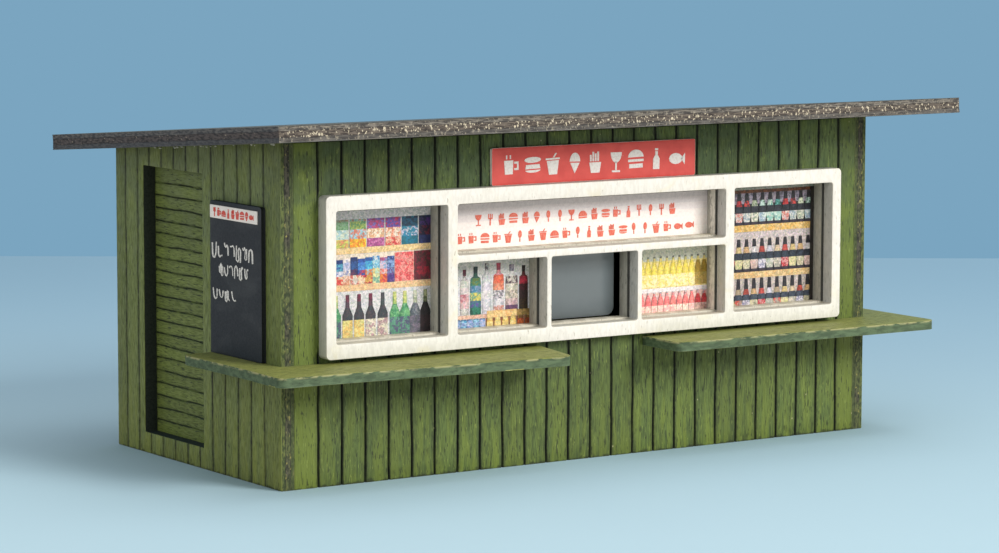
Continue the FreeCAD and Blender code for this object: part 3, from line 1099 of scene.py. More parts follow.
@dataclass(frozen=True)
class ColourPrint(Finish):
    """A small colour print on paper: two inks that the mesh carries, laid in coarse dots, its whole
    brightness set by a light level that paints light and shade for its recess.
    """

    stray: float = 0.1
    patches: float = 0.85
    uneven: float = 0.16
    # Light level of the whole print: below 1 it is painted shade, above 1 painted light, for how much light
    # reaches the card in its recess.
    light: float = 1.0
    roughness: float = 0.42

    def wire(self, graph: Graph) -> None:
        """Mottle the main ink with the second one and break both in dots."""
        spot = graph.millimetres()
        inks = (graph.add("ShaderNodeAttribute", attribute_name=name).outputs["Color"] for name in INKS)
        patch, dot, stray = graph.use(PrintDots, spot)
        colour = graph.mix(graph.times(patch, self.patches), *inks)
        # Dots scatter the ink around the light level: print, scaled by painted light and shade.
        even = graph.spread(dot, 0.0, 1.0, self.light - self.uneven, self.light + self.uneven)
        colour = graph.mix(1.0, colour, graph.grey(even), "MULTIPLY")
        rough = graph.spread(dot, 0.0, 1.0, self.roughness - 0.06, self.roughness + 0.1)
        graph.surface(graph.mix(self.stray, colour, stray, "OVERLAY"), rough, dot, 0.005)


@dataclass(frozen=True)
class Film(Finish):
    """Glossy grey-blue film graded as a painted reflection, darker at its foot and with a paler band at its
    head, with rippled reflections.
    """

    body: str = "677074"
    # Head and foot colours of the painted reflection.
    pale: str = "7d878b"
    deep: str = "525b5f"
    rim: str = "4a4440"
    foot: float = 14.45
    head: float = 21.55

    def wire(self, graph: Graph) -> None:
        """Grade the film from foot to head as a painted reflection and darken its rim."""
        spot = graph.millimetres()
        height = graph.add("ShaderNodeSeparateXYZ", {0: spot}).outputs[2]
        level = graph.plus(height, graph.times(graph.noise(graph.scaled(spot, (0.6, 1, 1)), 0.5, 3.0), 1.4))
        # Painted reflection: darker toward the foot, paler toward the head.
        colour = graph.coat(tint(self.deep), self.body, graph.spread(level, self.foot, self.foot + 3.5))
        colour = graph.coat(colour, self.pale, graph.spread(level, self.head - 1.6, self.head + 0.2))
        edge = graph.mask(WornRim, spot, rim=graph.attribute("rim"), scale=1.0, reach=0.5)
        colour = graph.coat(colour, self.rim, edge)
        ripples = graph.noise(graph.scaled(spot, (0.8, 1, 0.5)), 0.6, 2.0, 0.4)
        graph.surface(colour, graph.spread(ripples, 0.3, 0.7, 0.12, 0.24), ripples, 0.1, Coat_Weight=0.3)


@dataclass(frozen=True)
class PlainInk(Finish):
    """One even colour with a fine grain, for chalk, inks, white print, the glue beads and the doorway's
    reveal.
    """

    colour: str = "e8e6e0"
    shade: str = "c9c6be"
    roughness: float = 0.6
    scale: float = 5.0
    relief: float = 0.02

    def wire(self, graph: Graph) -> None:
        """Break the colour with a fine grain."""
        grain = graph.noise(graph.millimetres(), self.scale, 4.0)
        colour = graph.coat(tint(self.colour), self.shade, graph.spread(grain, 0.4, 0.75))
        rough = graph.spread(grain, 0.2, 0.8, self.roughness - 0.08, self.roughness + 0.08)
        graph.surface(colour, rough, grain, self.relief)


WALL_FACE = StainedPly("stained_wall_ply", ends=0.75)
# The side walls' stain is a lighter copy of the front wall's: painted light.
SIDE_FACE_PAINTED_LIGHTER = StainedPly("stained_side_ply", gaps=0.6, strokes=0.05, dark="56632f", middle="76834a",
                       warm="828c3c", cool="5e6a4a")
WALL_EDGE = CutEdge("wall_ply_edge", stained=0.75)
BAY_EDGE = WhitePaint("bay_edge_paint", coat="f3f3f0", shade="d0d1d0", stain="dad5bd", dirt="2a2b29",
                      bare="7d8078", hairs=0.06, wear=0.5)
BAY_SILL = WhitePaint("bay_sill_paint", coat="e9e3d2", shade="cfc8b4", hairs=0.05, joint=0.3)
# The doorway's reveal: a near-black even colour, dark stain on the cut edge and painted shadow in the
# doorway.
REVEAL_STAIN_AND_SHADOW = PlainInk("door_reveal_stain_and_shadow", colour="1c2417", shade="11170f", roughness=0.8)
# The door's stain is a lighter copy of the front wall's: painted light.
DOOR_FACE_PAINTED_LIGHTER = StainedPly("stained_door_ply", grain=Grain.DEEP, warm_below=6.0, gaps=1.0, line=0.75,
                       strokes=0.02, middle="727f3e", dark="5a6732", cool="66714a")
# The wall's part of each reveal: a darker copy of the frame's reveal white, painted shade deeper in the
# recess, with near-black painted shade in the crack at the frame.
BAY_WALL_PAINTED_SHADE = WhitePaint("bay_wall_paint", coat="e2dfd4", shade="b8b5aa", stain="bcb79e", dirt="1f201e",
                      bare="5c5f54", hairs=0.06, wear=0.5, joint=0.95)
# The counters' faces carry a lighter, yellower copy of the green of their edges: painted light from above.
COUNTER_FACE_PAINTED_LIGHT = StainedPly("stained_counter_ply", grain=Grain.LENGTHWISE, dark="79803f", middle="979b52",
                          light="b6b677", pore="4a4f2a", warm="a3a455", cool="858b5c", cool_above=40.0,
                          warm_below=12.3)
COUNTER_EDGE = BrushedEdge("counter_ply_edge")
ROOF_FACE = StainedPly("stained_roof_ply", grain=Grain.LENGTHWISE, dark="4a4740", middle="6e6b61",
                       light="8b877d", pore="2f2c28", warm="74695a", cool="5c6163", cool_above=30.0,
                       fleck="c9c1ab", flecks=0.16)
ROOF_EDGE = CutEdge("roof_ply_edge", grit=(1.0, 3.4, 7.0), ticks=(5.0, 3.4, 3.6), thickness=1.6,
                    outer="736d64", inner="3d3a38", core="5e544a", core_dark="332c28", glue="28221f",
                    fibre="c4baa2", fibres=0.1)
ROOF_END = CutEdge("roof_ply_end", grit=(3.4, 1.3, 5.0), ticks=(3.4, 2.4, 5.0), thickness=1.6,
                   outer="615f5d", inner="3d3e42", core="504745", core_dark="2b2828", glue="262222",
                   fibre="968c7c", fibres=0.03)
FRAME_PAINT = WhitePaint("frame_white_paint")
FRAME_EDGE = WhitePaint("frame_edge_paint", coat="d0d4d6", shade="b2b8ba", stain="c8c5b4", dirt="2c2e2c",
                        hairs=0.05, wear=0.46)
SIGN_INK = PrintedCard("sign_red_card")
SIGN_WHITE = PlainInk("sign_white_print", colour="f4f1ed", shade="e4dad5", roughness=0.5, relief=0.005)
SLATE = Blackboard("menu_slate")
CHALK = PlainInk("chalk", colour="eeeeea", shade="b4b7b8", roughness=0.85, scale=6.0)
STRIP_PAPER = PrintedCard("strip_white_paper", ink="f3f0ec", ink_deep="eae6e1", card="cdc8c1", reach=0.5)
RED_INK = PlainInk("red_print", colour="d6493c", shade="df6e5e", roughness=0.5, relief=0.004)
PANEL_INK = PlainInk("panel_red_print", colour="db6450", shade="e58c78", roughness=0.5, relief=0.004)
# The display prints differ only in light level: painted shade in the dimmer recesses, painted light in the
# drinks' bay.
DISPLAY_PRINT_PAINTED_SHADE = ColourPrint("goods_colour_print", light=0.87)
BEER_PRINT_PAINTED_SHADE = ColourPrint("beer_colour_print", light=0.76)
DRINKS_PRINT_PAINTED_LIGHT = ColourPrint("drinks_colour_print", light=1.04)
PANEL_PAPER = ColourPrint("panel_paper", stray=0.0, patches=0.5, uneven=0.025, roughness=0.5)
HATCH_FILM = Film("hatch_grey_film")
# Pale beads: dried glue, and a painted highlight from under the roof.
GLUE_AND_HIGHLIGHT = PlainInk("glue_and_highlight_paint", colour="b9bcae", shade="7f8878", roughness=0.35, scale=3.0)


@dataclass
class PlankWalls:
    """The four engraved plank walls and the slatted door."""

    sheet: float = 1.5
    softness: float = 0.07
    pitch: float = 2.7
    planks: int = 26
    side_pitch: float = 2.62
    side_first: float = 3.24
    side_last: float = 0.32
    frame_tuck: float = 0.5
    frame_side: float = 0.2
    bay_lap: float = 0.4
    doorway_lap: float = 1.2
    doorway_head: float = 0.95
    slat_first: float = 3.35
    slat_pitch: float = 1.302
    slats: int = 20
    below_foot: float = -1.0
    above_head: float = 40.0
    front: NodeBox = packed("front_wall")
    back: NodeBox = packed("back_wall")
    left: NodeBox = packed("left_wall")
    right: NodeBox = packed("right_wall")
    door: NodeBox = packed("door_leaf")
    frame: NodeBox = packed("window_frame")

    def build(self, holes: Sequence[Area]) -> None:
        """Build the walls, the front one with its openings, and the door."""
        self.build_front(holes)
        self.build_back()
        self.build_side("plank_left_wall", Facing.LEFT)
        self.build_side("plank_right_wall", Facing.RIGHT)
        self.build_door()

    def long_grooves(self, way: int, breaks: Callable[[float], tuple[Point, ...]]) -> list[Groove]:
        """Return the grooves of a long wall, with where each one runs; way is -1 for the back."""
        places = sorted(way * x for x in spaced(self.front.low.x + self.pitch, self.pitch, self.planks - 1))
        return [Groove(x, Run.UP, breaks(x)) for x in places]

    def build_front(self, holes: Sequence[Area]) -> None:
        """Build the serving wall, with its openings behind the window frame."""
        below, above = self.frame.low.z + self.frame_tuck, self.frame.high.z - self.frame_tuck

        def breaks(x: float) -> tuple[Point, ...]:
            """Return where a groove runs, which stops behind the window frame."""
            if self.frame.low.x - self.frame_side < x < self.frame.high.x + self.frame_side:
                return ((self.below_foot, below), (above, self.above_head))
            return ((self.below_foot, self.above_head),)

        sheet = Sheet("plank_front_wall", self.front.front_area(), self.sheet)
        sheet.cut_out(holes, lap=self.bay_lap)
        sheet.thicken()
        sheet.soften(self.softness)
        sheet.engrave(self.long_grooves(1, breaks), wander=0.1, seed=3.0)
        sheet.mark(WALL_FACE, WALL_EDGE, seed=4)
        sheet.line(holes, BAY_WALL_PAINTED_SHADE, BAY_SILL)
        sheet.deliver(Facing.FRONT, self.front.low.y, "wall_paint", "front_wall")

    def build_back(self) -> None:
        """Build the plain back wall."""
        box = self.back
        sheet = Sheet("plank_back_wall", Area(-box.high.x, -box.low.x, box.low.z, box.high.z), self.sheet)
        sheet.thicken()
        sheet.soften(self.softness)
        whole = ((self.below_foot, self.above_head),)
        sheet.engrave(self.long_grooves(-1, lambda _: whole), wander=0.1, seed=11.0)
        sheet.mark(WALL_FACE, WALL_EDGE, seed=8)
        sheet.deliver(Facing.BACK, box.high.y, "wall_paint", "back_wall")

    def build_side(self, name: str, facing: Facing) -> None:
        """Build a side wall with its sloping head, and the doorway in the left one.

        Args:
            name: the name of the piece.
            facing: the side that the wall is on.
        """
        on_left = facing is Facing.LEFT
        box, way, node = (self.left, -1, "left_wall") if on_left else (self.right, 1, "right_wall")
        area = Area(*sorted((way * box.low.y, way * box.high.y)), box.low.z, box.high.z)
        doorways = [self.doorway()] if on_left else []
        sheet = Sheet(name, area, self.sheet)
        sheet.trim((way * box.low.y, box.high.z, 0), (way * math.tan(FALL), 1, 0))
        if doorways:
            sheet.cut_out(doorways)
        sheet.thicken()
        sheet.soften(self.softness)
        count = int((box.high.y - self.side_last - box.low.y - self.side_first) / self.side_pitch) + 1
        places = (way * y for y in spaced(box.low.y + self.side_first, self.side_pitch, count))
        grooves = [Groove(x) for x in sorted(places)]
        sheet.engrave(grooves, wander=0.12, seed=21.0 + way, half=0.13, depth=0.22)
        sheet.mark(SIDE_FACE_PAINTED_LIGHTER, WALL_EDGE, seed=15 + way)
        # Near-black doorway reveal: dark stain and painted shadow.
        sheet.line(doorways, REVEAL_STAIN_AND_SHADOW)
        sheet.deliver(facing, box.low.x if on_left else box.high.x, "wall_paint", node)

    def doorway(self) -> Area:
        """Return the doorway on the bench of the left wall."""
        inner = self.door.left_area()
        return Area(inner.left + self.doorway_lap, inner.right - self.doorway_lap, 2 * inner.foot,
                    inner.head - self.doorway_head)

    def build_door(self) -> None:
        """Build the slatted sheet behind the doorway."""
        sheet = Sheet("slatted_door", self.door.left_area(), self.door.size.x)
        sheet.thicken()
        sheet.soften(0.05)
        grooves = [Groove(y, Run.ACROSS) for y in spaced(self.slat_first, self.slat_pitch, self.slats)]
        sheet.engrave(grooves, wander=0.14, seed=31.0, step=1.0, half=0.1, depth=0.14, halo=0.3)
        sheet.mark(DOOR_FACE_PAINTED_LIGHTER, WALL_EDGE, seed=9)
        sheet.deliver(Facing.LEFT, self.door.low.x, "wall_paint", "door_leaf")


@dataclass
class RoofSheet:
    """The flat roof: one sheet that falls to the back."""

    sheet: float = 1.6
    softness: float = 0.08
    wear: float = 0.16
    margin: float = 0.35
    rim: float = 0.3
    border: float = 1.2
    pitch: float = 0.6935
    columns: int = 120
    row_pitch: float = 3.0
    rows: int = 15
    layers: tuple[float, ...] = (0.3, 0.54, 1.06, 1.3)
    box: NodeBox = packed("roof")

    def build(self) -> None:
        """Build the roof, with its layers showing at the edges."""
        lift = self.sheet * math.sin(FALL)
        length = (self.box.size.y - lift) / math.cos(FALL)
        sheet = Sheet("roof_sheet", Area(self.box.low.x, self.box.high.x, 0, length), self.sheet)
        sheet.thicken()
        sheet.soften(self.softness)
        rows = (self.rim, self.border, *spaced(self.row_pitch, self.row_pitch, self.rows), length - self.rim)
        sheet.score(spaced(self.box.low.x + self.margin, self.pitch, self.columns), rows, self.layers)
        sheet.fray(self.wear, seed=5.0, fineness=1.7)
        sheet.mark(ROOF_FACE, ROOF_EDGE)
        sheet.finish_ends(ROOF_END)
        foot = Vector((0, self.box.low.y, self.box.high.z - self.sheet * math.cos(FALL)))
        turn = Matrix.Rotation(-FALL, 4, "X")
        matrix = Matrix.Translation(foot * MM) @ turn @ Matrix.Translation((0, 0, self.sheet * MM))
        place(sheet.piece, matrix @ TO_METRES)
        hand_in(sheet.piece, "roof_ply", "roof")


@dataclass
class GlueBeads:
    """Pale beads along the joint between the left wall and the roof: dried glue, and a painted highlight of
    the roof's underside.
    """

    count: int = 22
    front_gap: float = 0.6
    back_gap: float = 8.0
    thickness: float = 0.04
    below_roof: Point = (0.1, 0.22)
    lengths: Point = (0.1, 0.3)
    heights: Point = (0.05, 0.1)
    wall: NodeBox = packed("left_wall")

    def build(self) -> None:
        """Set small flattened beads under the roof."""
        draw = random.Random(23)
        beads = []
        for _ in range(self.count):
            y = draw.uniform(self.wall.low.y + self.front_gap, self.wall.high.y - self.back_gap)
            z = self.wall.high.z - (y - self.wall.low.y) * math.tan(FALL) - draw.uniform(*self.below_roof)
            bead = added(bpy.ops.mesh.primitive_ico_sphere_add, subdivisions=2, radius=1)
            spread = (draw.uniform(*self.lengths), draw.uniform(*self.heights))
            size = Matrix.Diagonal((self.thickness, *spread, 1))
            spot = Matrix.Translation((self.wall.low.x, y, z))
            beads.append(place(bead, TO_METRES @ spot @ size))
        piece = join(beads, "glue_beads")
        GLUE_AND_HIGHLIGHT.dress(piece)
        activate(piece)
        bpy.ops.object.shade_smooth()
        hand_in(piece, "wall_paint")


@dataclass
class Counters:
    """The two L-shaped counters round the front corners."""

    corner: float = 0.9
    droop: float = 0.4
    margin: float = 0.35
    pitch_x: float = 1.1
    pitch_y: float = 1.2
    left_wall: NodeBox = packed("left_wall")
    right_wall: NodeBox = packed("right_wall")

    def build(self) -> None:
        """Build both counters; the left one sags a little."""
        self.build_one("left_counter", -1, self.left_wall.low.x, self.droop)
        self.build_one("right_counter", 1, self.right_wall.high.x, 0.0)

    def build_one(self, node: str, side: int, wall_x: float, droop: float) -> None:
        """Build one counter.

        Args:
            node: the solid that it stands for.
            side: -1 for the left and 1 for the right.
            wall_x: the outer face of the wall that it runs round.
            droop: how far its free corner hangs.
        """
        box = NodeBox.of(node)
        wall_front = self.left_wall.low.y
        area = Area(box.low.x, box.high.x, box.low.y, box.high.y)
        thickness = box.size.z
        sheet = Sheet(node + "_sheet", area, thickness)
        inner_x, outer_x = (box.high.x, box.low.x) if side < 0 else (box.low.x, box.high.x)
        sheet.cut_out([Area(*sorted((wall_x, inner_x)), wall_front, area.head)])
        sheet.thicken()
        sheet.round_corners([(outer_x, box.high.y), (outer_x, box.low.y), (inner_x, box.low.y)], self.corner)
        sheet.soften(0.09)
        sheet.score(spaced(box.low.x + self.margin, self.pitch_x, 32),
                    [box.low.y + self.margin, *spaced(box.low.y + self.pitch_x, self.pitch_y, 15)],
                    (0.3 * thickness, 0.7 * thickness))
        sheet.fray(0.07, 9.0 + side, 1.5)
        reach, free = wall_front - box.low.y, abs(inner_x - wall_x)

        def sag(point: Vector) -> float:
            """Return how far the counter hangs at a place."""
            out = max(0.0, wall_front - point.y) / reach
            along = max(0.0, min(1.0, -side * (point.x - wall_x) / free))
            return -droop * out * (0.25 + 0.75 * along)

        sheet.mark(COUNTER_FACE_PAINTED_LIGHT, COUNTER_EDGE)
        sheet.bow(sag)
        sheet.deliver(Facing.UP, box.high.z, "counter_paint", node)


@dataclass
class WindowFrame:
    """The white frame with its six bays."""

    lip: float = 0.2
    bar: float = 0.55
    bay_corner: float = 0.25
    corner: float = 0.5
    box: NodeBox = packed("window_frame")

    def bays(self) -> dict[str, Area]:
        """Return the frame's bays, found from the cards behind them."""
        names = ("left_display", "panel", "bottle_display", "drinks_display", "right_display")
        found = {name: NodeBox.of(name + "_card").front_area().shrunk(self.lip) for name in names}
        low, end = found["bottle_display"], found["drinks_display"].left
        found["hatch"] = Area(low.right + self.bar, end - self.bar, low.foot, low.head)
        return found

    def build(self) -> None:
        """Build the frame."""
        bays = list(self.bays().values())
        area = self.box.front_area()
        sheet = Sheet("white_window_frame", area, self.box.size.y)
        sheet.cut_out(bays)
        sheet.thicken()
        sheet.round_corners([spot for bay in bays for spot in bay.corners()], self.bay_corner, 3)
        sheet.round_corners(area.corners(), self.corner)
        sheet.soften(0.07)
        sheet.mark(FRAME_PAINT, FRAME_EDGE)
        sheet.line(bays, BAY_EDGE, FRAME_PAINT)
        sheet.deliver(Facing.FRONT, self.box.low.y, "frame_paint", "window_frame")


@dataclass
class Patterns:
    """Patterns that are made once and copied often."""

    made: dict[Enum, Piece] = field(default_factory=dict)

    def make(self, kind: Enum) -> Piece:
        """Make one pattern."""
        raise NotImplementedError

    def copy(self, kind: Enum) -> Piece:
        """Return a copy of a pattern, which is made when it is first asked for."""
        if kind not in self.made:
            self.made[kind] = self.make(kind)
        return copy_of(self.made[kind])

    def clear(self) -> None:
        """Take the patterns off the bench."""
        for pattern in self.made.values():
            bpy.data.objects.remove(pattern)
        self.made.clear()


def oval(x: float, y: float, wide: float, high: float, start: float = 0.0, end: float = 360.0,
         steps: int = 12) -> Shape:
    """Return an oval, or the part of one between two angles.

    Args:
        x: its middle across.
        y: its middle up.
        wide: half its width.
        high: half its height.
        start: the first angle in degrees.
        end: the last one.
        steps: how many sides it has.

    Returns:
        The corners in order.
    """
    count = steps if end - start >= 360.0 else steps + 1
    angles = [math.radians(start + (end - start) * number / steps) for number in range(count)]
    return tuple((x + wide * math.cos(angle), y + high * math.sin(angle)) for angle in angles)


def bar(left: float, right: float, foot: float, head: float) -> Shape:
    """Return a rectangle."""
    return ((left, foot), (right, foot), (right, head), (left, head))


def cup(foot: float, head: float, lower: float, upper: float) -> Shape:
    """Return a shape that widens or narrows evenly, from half its width at the foot and at the head."""
    return ((0.5 - lower, foot), (0.5 + lower, foot), (0.5 + upper, head), (0.5 - upper, head))


class Pictogram(Enum):
    """Plain pictograms of food and drink, each a few filled shapes in a box one high."""

    MUG = (((0.12, 0.1), (0.58, 0.1), (0.62, 0.75), (0.08, 0.75)), bar(0.68, 0.84, 0.28, 0.38),
           bar(0.68, 0.84, 0.58, 0.68), bar(0.84, 0.93, 0.28, 0.68), bar(0.2, 0.27, 0.82, 1),
           bar(0.42, 0.49, 0.82, 1))
    SAUSAGE_ROLL = (oval(0.5, 0.72, 0.5, 0.14), cup(0.3, 0.5, 0.45, 0.4),
                    oval(0.5, 0.24, 0.45, 0.12, 180, 360, 8))
    CONE = (((0.5, 0), (0.78, 0.5), (0.22, 0.5)), oval(0.5, 0.56, 0.32, 0.42, 0, 180, 10))
    BOTTLE = (((0.3, 0), (0.7, 0), (0.7, 0.5), (0.58, 0.68), (0.58, 0.86), (0.42, 0.86), (0.42, 0.68),
               (0.3, 0.5)), bar(0.4, 0.6, 0.9, 1))
    CHIPS = (cup(0, 0.5, 0.26, 0.36), *(bar(left, left + 0.1, 0.55, head) for left, head in (
        (0.18, 0.86), (0.33, 1), (0.48, 0.92), (0.63, 1))))
    BURGER = (oval(0.5, 0.6, 0.48, 0.36, 0, 180, 12), bar(0.02, 0.98, 0.38, 0.5), bar(0.08, 0.92, 0.08, 0.28))
    FORK = (bar(0.44, 0.56, 0, 0.6), bar(0.26, 0.74, 0.54, 0.64), *(bar(left, left + 0.09, 0.64, 1)
                                                                     for left in (0.26, 0.455, 0.65)))
    TUMBLER = (cup(0, 0.66, 0.24, 0.36), bar(0.08, 0.92, 0.7, 0.78),
               ((0.5, 0.8), (0.6, 0.8), (0.76, 1), (0.66, 1)))
    GLASS = (oval(0.5, 0.95, 0.34, 0.5, 180, 360, 10), bar(0.45, 0.55, 0.1, 0.5), bar(0.25, 0.75, 0, 0.09))
    FISH = (oval(0.42, 0.5, 0.42, 0.27), ((0.76, 0.5), (1, 0.22), (1, 0.78)))
    BUN = (oval(0.5, 0.3, 0.48, 0.48, 0, 180, 10), bar(0.04, 0.96, 0.12, 0.24))
    STICK = (oval(0.5, 0.66, 0.2, 0.34), bar(0.45, 0.55, 0, 0.3))


def pictograms(names: str) -> tuple[Pictogram, ...]:
    """Return pictograms from their names."""
    return tuple(Pictogram[name.upper()] for name in names.split())


@dataclass
class PictogramPress(Patterns):
    """Cuts pictograms once and stamps copies of them."""

    thickness: float = 0.05
    shift: float = 0.03
    lean: float = 2.0
    narrow: float = 0.95

    def cut(self, shape: Shape) -> Piece:
        """Return one filled outline with its thickness."""
        piece = added(bpy.ops.mesh.primitive_circle_add, vertices=len(shape), radius=1, fill_type="NGON")
        for vertex, spot in zip(piece.data.vertices, shape):
            vertex.co = (*spot, 0)
        with Editing(piece):
            bpy.ops.mesh.select_all(action="SELECT")
            bpy.ops.mesh.extrude_region_move(TRANSFORM_OT_translate={"value": (0, 0, 1)})
            bpy.ops.mesh.select_all(action="SELECT")
            bpy.ops.mesh.normals_make_consistent(inside=False)
        return piece

    def make(self, kind: Pictogram) -> Piece:
        """Cut a pictogram's shapes."""
        return join([self.cut(shape) for shape in kind.value], kind.name.lower())

    def row(self, kinds: Sequence[Pictogram], left: float, pitch: float, foot: float, height: float,
            draw: random.Random) -> list[Piece]:
        """Return copies of pictograms in a row, slightly uneven as a hand cuts them.

        Args:
            kinds: what each one shows.
            left: where the first one starts, in millimetres on the bench.
            pitch: the distance from one to the next.
            foot: where they stand.
            height: their height.
            draw: the source of the unevenness.

        Returns:
            The copies on the bench.
        """
        copies = []
        for number, kind in enumerate(kinds):
            spot = (left + number * pitch + draw.uniform(-self.shift, self.shift) * height,
                    foot + draw.uniform(-self.shift, self.shift) * height, 0)
            size = Matrix.Diagonal((height * self.narrow, height, self.thickness, 1))
            turn = Matrix.Rotation(math.radians(draw.uniform(-self.lean, self.lean)), 4, "Z")
            copies.append(place(self.copy(kind), Matrix.Translation(spot) @ turn @ size))
        return copies


def stick(prints: Sequence[Piece], name: str, finish: Finish, facing: Facing, level: float, slot: str,
          *nodes: str) -> None:
    """Join small prints into one piece, give it its ink, stand it, attach it to the root body and hide its
    solids.

    Args:
        prints: the prints on the bench.
        name: the piece's name.
        finish: its ink.
        facing: where it looks.
        level: how far along that axis it lies, in millimetres.
        slot: its slot.
        nodes: the solids that it stands for.
    """
    piece = join(prints, name)
    finish.dress(piece)
    stand(piece, facing, level)
    hand_in(piece, slot, *nodes)


@dataclass
class SignBoard:
    """The red sign with white pictograms of food and drink."""

    press: PictogramPress
    icon_height: float = 2.15
    end_gap: float = 1.1
    inset: float = 0.06
    rim: float = 0.3
    pitch: float = 1.0
    columns: int = 24
    corner: float = 0.2
    softness: float = 0.05
    wear: float = 0.06
    print_inset: float = 0.065
    box: NodeBox = packed("sign_board")
    kinds: tuple[Pictogram, ...] = pictograms("mug sausage_roll tumbler cone chips glass burger bottle fish")

    def build(self) -> None:
        """Build the sign and its pictograms."""
        area = self.box.front_area()
        sheet = Sheet("sign_card_face", area, self.box.size.y - self.inset)
        sheet.thicken()
        sheet.round_corners(area.corners(), self.corner, 3)
        sheet.soften(self.softness)
        columns = spaced(area.left + self.pitch, self.pitch, self.columns)
        sheet.score((area.left + self.rim, *columns, area.right - self.rim),
                    (area.foot + self.rim, area.head - self.rim))
        sheet.fray(self.wear, seed=2.0, fineness=1.4)
        sheet.mark(SIGN_INK)
        sheet.deliver(Facing.FRONT, self.box.low.y + self.inset, "sign_card", "sign_board")
        pitch = (area.right - area.left - 2 * self.end_gap) / len(self.kinds)
        left = area.left + self.end_gap + (pitch - self.icon_height) / 2
        foot = (area.foot + area.head - self.icon_height) / 2
        copies = self.press.row(self.kinds, left, pitch, foot, self.icon_height, random.Random(5))
        stick(copies, "sign_pictograms", SIGN_WHITE, Facing.FRONT, self.box.low.y + self.print_inset,
              "sign_card")


@dataclass
class MenuBoard:
    """The blackboard with its chalk marks and the printed strip at its head."""

    press: PictogramPress
    chalk_width: float = 0.105
    rim: float = 0.35
    strip_rim: float = 0.15
    corner: float = 0.35
    softness: float = 0.07
    wear: float = 0.08
    pitch: float = 1.5
    inset: float = 0.05
    box: NodeBox = packed("menu_board")
    strip: NodeBox = packed("menu_strip")
    lines: tuple[tuple[float, float, float, float, int], ...] = (
        (2.5, 11.0, 21.75, 1.7, 7), (3.9, 10.0, 20.05, 1.3, 6), (2.6, 7.6, 17.6, 1.3, 4))
    kinds: tuple[Pictogram, ...] = pictograms("fork mug bun bottle chips tumbler burger cone fish")

    def build(self) -> None:
        """Build the board, its chalk and its strip."""
        area = self.box.left_area()
        sheet = Sheet("menu_board_card", area, self.box.size.x)
        sheet.thicken()
        sheet.round_corners([(area.left, area.head), (area.right, area.head)], self.corner, 3)
        sheet.soften(self.softness)
        columns = spaced(area.left + self.pitch, self.pitch, 6)
        rows = spaced(area.foot + self.pitch, self.pitch, 9)
        sheet.score((area.left + self.rim, *columns, area.right - self.rim),
                    (area.foot + self.rim, *rows, area.head - self.rim))
        sheet.fray(self.wear, seed=6.0, fineness=0.9)
        sheet.mark(SLATE)
        sheet.deliver(Facing.LEFT, self.box.low.x, "board_card", "menu_board")
        self.build_chalk()
        self.build_strip()

    def build_chalk(self) -> None:
        """Draw three lines of chalk marks that spell nothing."""
        draw = random.Random(12)
        curve = bpy.data.curves.new("chalk_marks", "CURVE")
        curve.dimensions = "3D"
        curve.bevel_depth = self.chalk_width
        curve.bevel_resolution = 1
        curve.use_fill_caps = True
        for left, right, foot, height, count in self.lines:
            pitch = (right - left) / count
            for number in range(count):
                self.squiggle(curve, left + number * pitch, foot, pitch * 0.66, height, draw)
        piece = bpy.data.objects.new("chalk_marks", curve)
        bpy.context.scene.collection.objects.link(piece)
        activate(piece)
        bpy.ops.object.convert(target="MESH")
        piece = bpy.context.active_object
        CHALK.dress(piece)
        activate(piece)
        bpy.ops.object.shade_smooth()
        stand(piece, Facing.LEFT, self.box.low.x + 0.03)
        hand_in(piece, "board_card")

    def squiggle(self, curve: bpy.types.Curve, left: float, foot: float, width: float, height: float,
                 draw: random.Random) -> None:
        """Add one zigzag mark to the chalk.

        Args:
            curve: the chalk's curve.
            left: where the mark starts, in millimetres on the bench.
            foot: its lowest level.
            width: its width.
            height: its height.
            draw: the source of its turns.
        """
        turns = draw.choice((3, 4, 4, 5))
        spline = curve.splines.new("BEZIER")
        spline.bezier_points.add(turns - 1)
        for number, knot in enumerate(spline.bezier_points):
            up = number % 2 == draw.choice((0, 0, 0, 1))
            level = draw.uniform(0.75, 1.0) if up else draw.uniform(0.0, 0.3)
            knot.co = (left + width * number / (turns - 1), foot + height * level, 0)
            knot.handle_left_type = "AUTO"
            knot.handle_right_type = "AUTO"
            knot.radius = draw.uniform(0.7, 1.25)
        spline.resolution_u = 4

    def build_strip(self) -> None:
        """Build the printed strip with its row of red pictograms."""
        area = self.strip.left_area()
        sheet = Sheet("menu_strip_paper", area, self.strip.size.x - self.inset)
        sheet.thicken()
        sheet.soften(0.02)
        sheet.score((area.left + self.strip_rim, area.right - self.strip_rim),
                    (area.foot + self.strip_rim, area.head - self.strip_rim))
        sheet.mark(STRIP_PAPER)
        sheet.deliver(Facing.LEFT, self.strip.low.x + self.inset, "strip_card", "menu_strip")
        copies = self.press.row(self.kinds, 2.75, 0.92, 25.98, 0.9, random.Random(7))
        stick(copies, "menu_strip_pictograms", RED_INK, Facing.LEFT, self.strip.low.x + 0.052, "strip_card")


